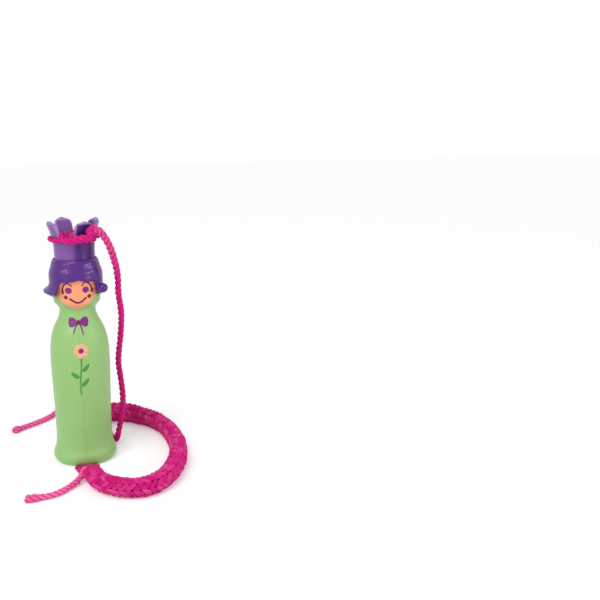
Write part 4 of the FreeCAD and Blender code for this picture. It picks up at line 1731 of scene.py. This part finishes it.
@dataclass(frozen=True)
class Window:
    """A window of upright bars of light that shows in the glossy plastics.

    Its turn is from the doll's front towards +X, and its rise is above the level of the hair.
    """

    turn: float
    rise: float
    bars: int = 4
    pitch: float = math.radians(9.5)
    size: Flat = (0.032, 0.075)
    power: float = 0.15
    distance: float = 0.6
    level: float = 0.12

    def build(self, name: str) -> None:
        """Makes one lamp for each bar, all of them facing the doll.

        Args:
            name: How the lamps' names start.
        """
        for bar in range(self.bars):
            turn = self.turn + (bar - (self.bars - 1) / 2) * self.pitch
            out = math.cos(self.rise)
            away = Vector((out * math.sin(turn), -out * math.cos(turn), math.sin(self.rise)))
            wide, high = self.size
            settings = {"shape": "RECTANGLE", "size": wide, "size_y": high, "energy": self.power}
            lamp = add_lamp(f"{name}_{bar}", "AREA", away, **settings)
            lamp.location = Vector((0.0, 0.0, self.level)) + away * self.distance


@dataclass(frozen=True)
class Studio:
    """A pale floor, a soft sun and an even sky."""

    floor_size: float = 6.0
    floor_tone: float = 0.94
    floor_glow: float = 0.26
    sky: float = 0.48
    sun: float = 1.12
    sun_spread: float = math.radians(35)
    sun_tilt: float = math.radians(38)
    sun_turn: float = math.radians(-28)
    windows: tuple[Window, ...] = (
        Window(math.radians(63), math.radians(15)),
        Window(math.radians(-50), math.radians(23)),
        Window(math.radians(53), math.radians(-6), bars=2, pitch=0.2, size=(0.1, 0.03), power=0.1),
        Window(math.radians(-46), math.radians(-4), bars=1, size=(0.12, 0.03), power=0.1),
    )

    def build(self) -> None:
        """Makes the floor, the sky and the lamps."""
        self._floor()
        self._sky()
        self._lamps()
        bpy.context.scene.view_settings.view_transform = "Standard"

    def _floor(self) -> None:
        """Makes the floor."""
        half = self.floor_size / 2
        mesh = bpy.data.meshes.new("studio_floor")
        corners = [(-half, -half, 0.0), (half, -half, 0.0), (half, half, 0.0), (-half, half, 0.0)]
        mesh.from_pydata(corners, [], [(0, 1, 2, 3)])
        material, nodes, shader = new_material("pale_floor")
        values = {
            "Base Color": opaque((self.floor_tone,) * 3),
            "Roughness": 0.9,
            "Specular IOR Level": 0.0,
            "Emission Color": (1.0, 1.0, 1.0, 1.0),
            "Emission Strength": nodes.times(self._seen(nodes), self.floor_glow),
        }
        nodes.feed(shader, values)
        mesh.materials.append(material)
        linked("studio_floor", mesh)

    def _seen(self, nodes: NodeBuilder) -> Socket:
        """Returns 1 where a surface is seen, straight or by way of a mirror or a clear part."""
        path = nodes.add("ShaderNodeLightPath").outputs
        mirrored = nodes.math("MAXIMUM", path["Is Glossy Ray"], path["Is Transmission Ray"])
        return nodes.math("MAXIMUM", path["Is Camera Ray"], mirrored)

    def _sky(self) -> None:
        """Makes the sky: even light, and white wherever it is seen or mirrored."""
        world = bpy.data.worlds.new("studio_sky")
        bpy.context.scene.world = world
        world.use_nodes = True
        world.node_tree.nodes.clear()
        nodes = NodeBuilder(world.node_tree)
        strength = nodes.plus(nodes.times(self._seen(nodes), 1.0 - self.sky), self.sky)
        glow = nodes.add("ShaderNodeBackground", {"Color": (1, 1, 1, 1), "Strength": strength})
        nodes.add("ShaderNodeOutputWorld", {"Surface": glow.outputs["Background"]})

    def _lamps(self) -> None:
        """Makes the soft sun and the windows."""
        out = math.sin(self.sun_tilt)
        level = (math.sin(self.sun_turn) * out, -math.cos(self.sun_turn) * out)
        away = Vector((*level, math.cos(self.sun_tilt)))
        add_lamp("soft_sun", "SUN", away, energy=self.sun, angle=self.sun_spread)
        for number, window in enumerate(self.windows):
            window.build(f"window_{number}")


def main() -> None:
    """Builds the camera, the cords, the plastics, the paint and the studio, in that order."""
    logging.basicConfig(level=logging.INFO, format="%(message)s")
    StudioCamera().build()
    shop = Workshop()
    FinishedCord().build(shop)
    WorkingYarn().build(shop)
    CastOnTail().build(shop)
    InnerCord().build(shop)
    PegKnitting().build(shop)
    KnitFunnel().build(shop)
    PlasticParts().build(shop)
    painter = Painter(shop)
    Face(painter).build()
    DressPrint(painter).build()
    Studio().build()


if __name__ == "__main__":
    main()
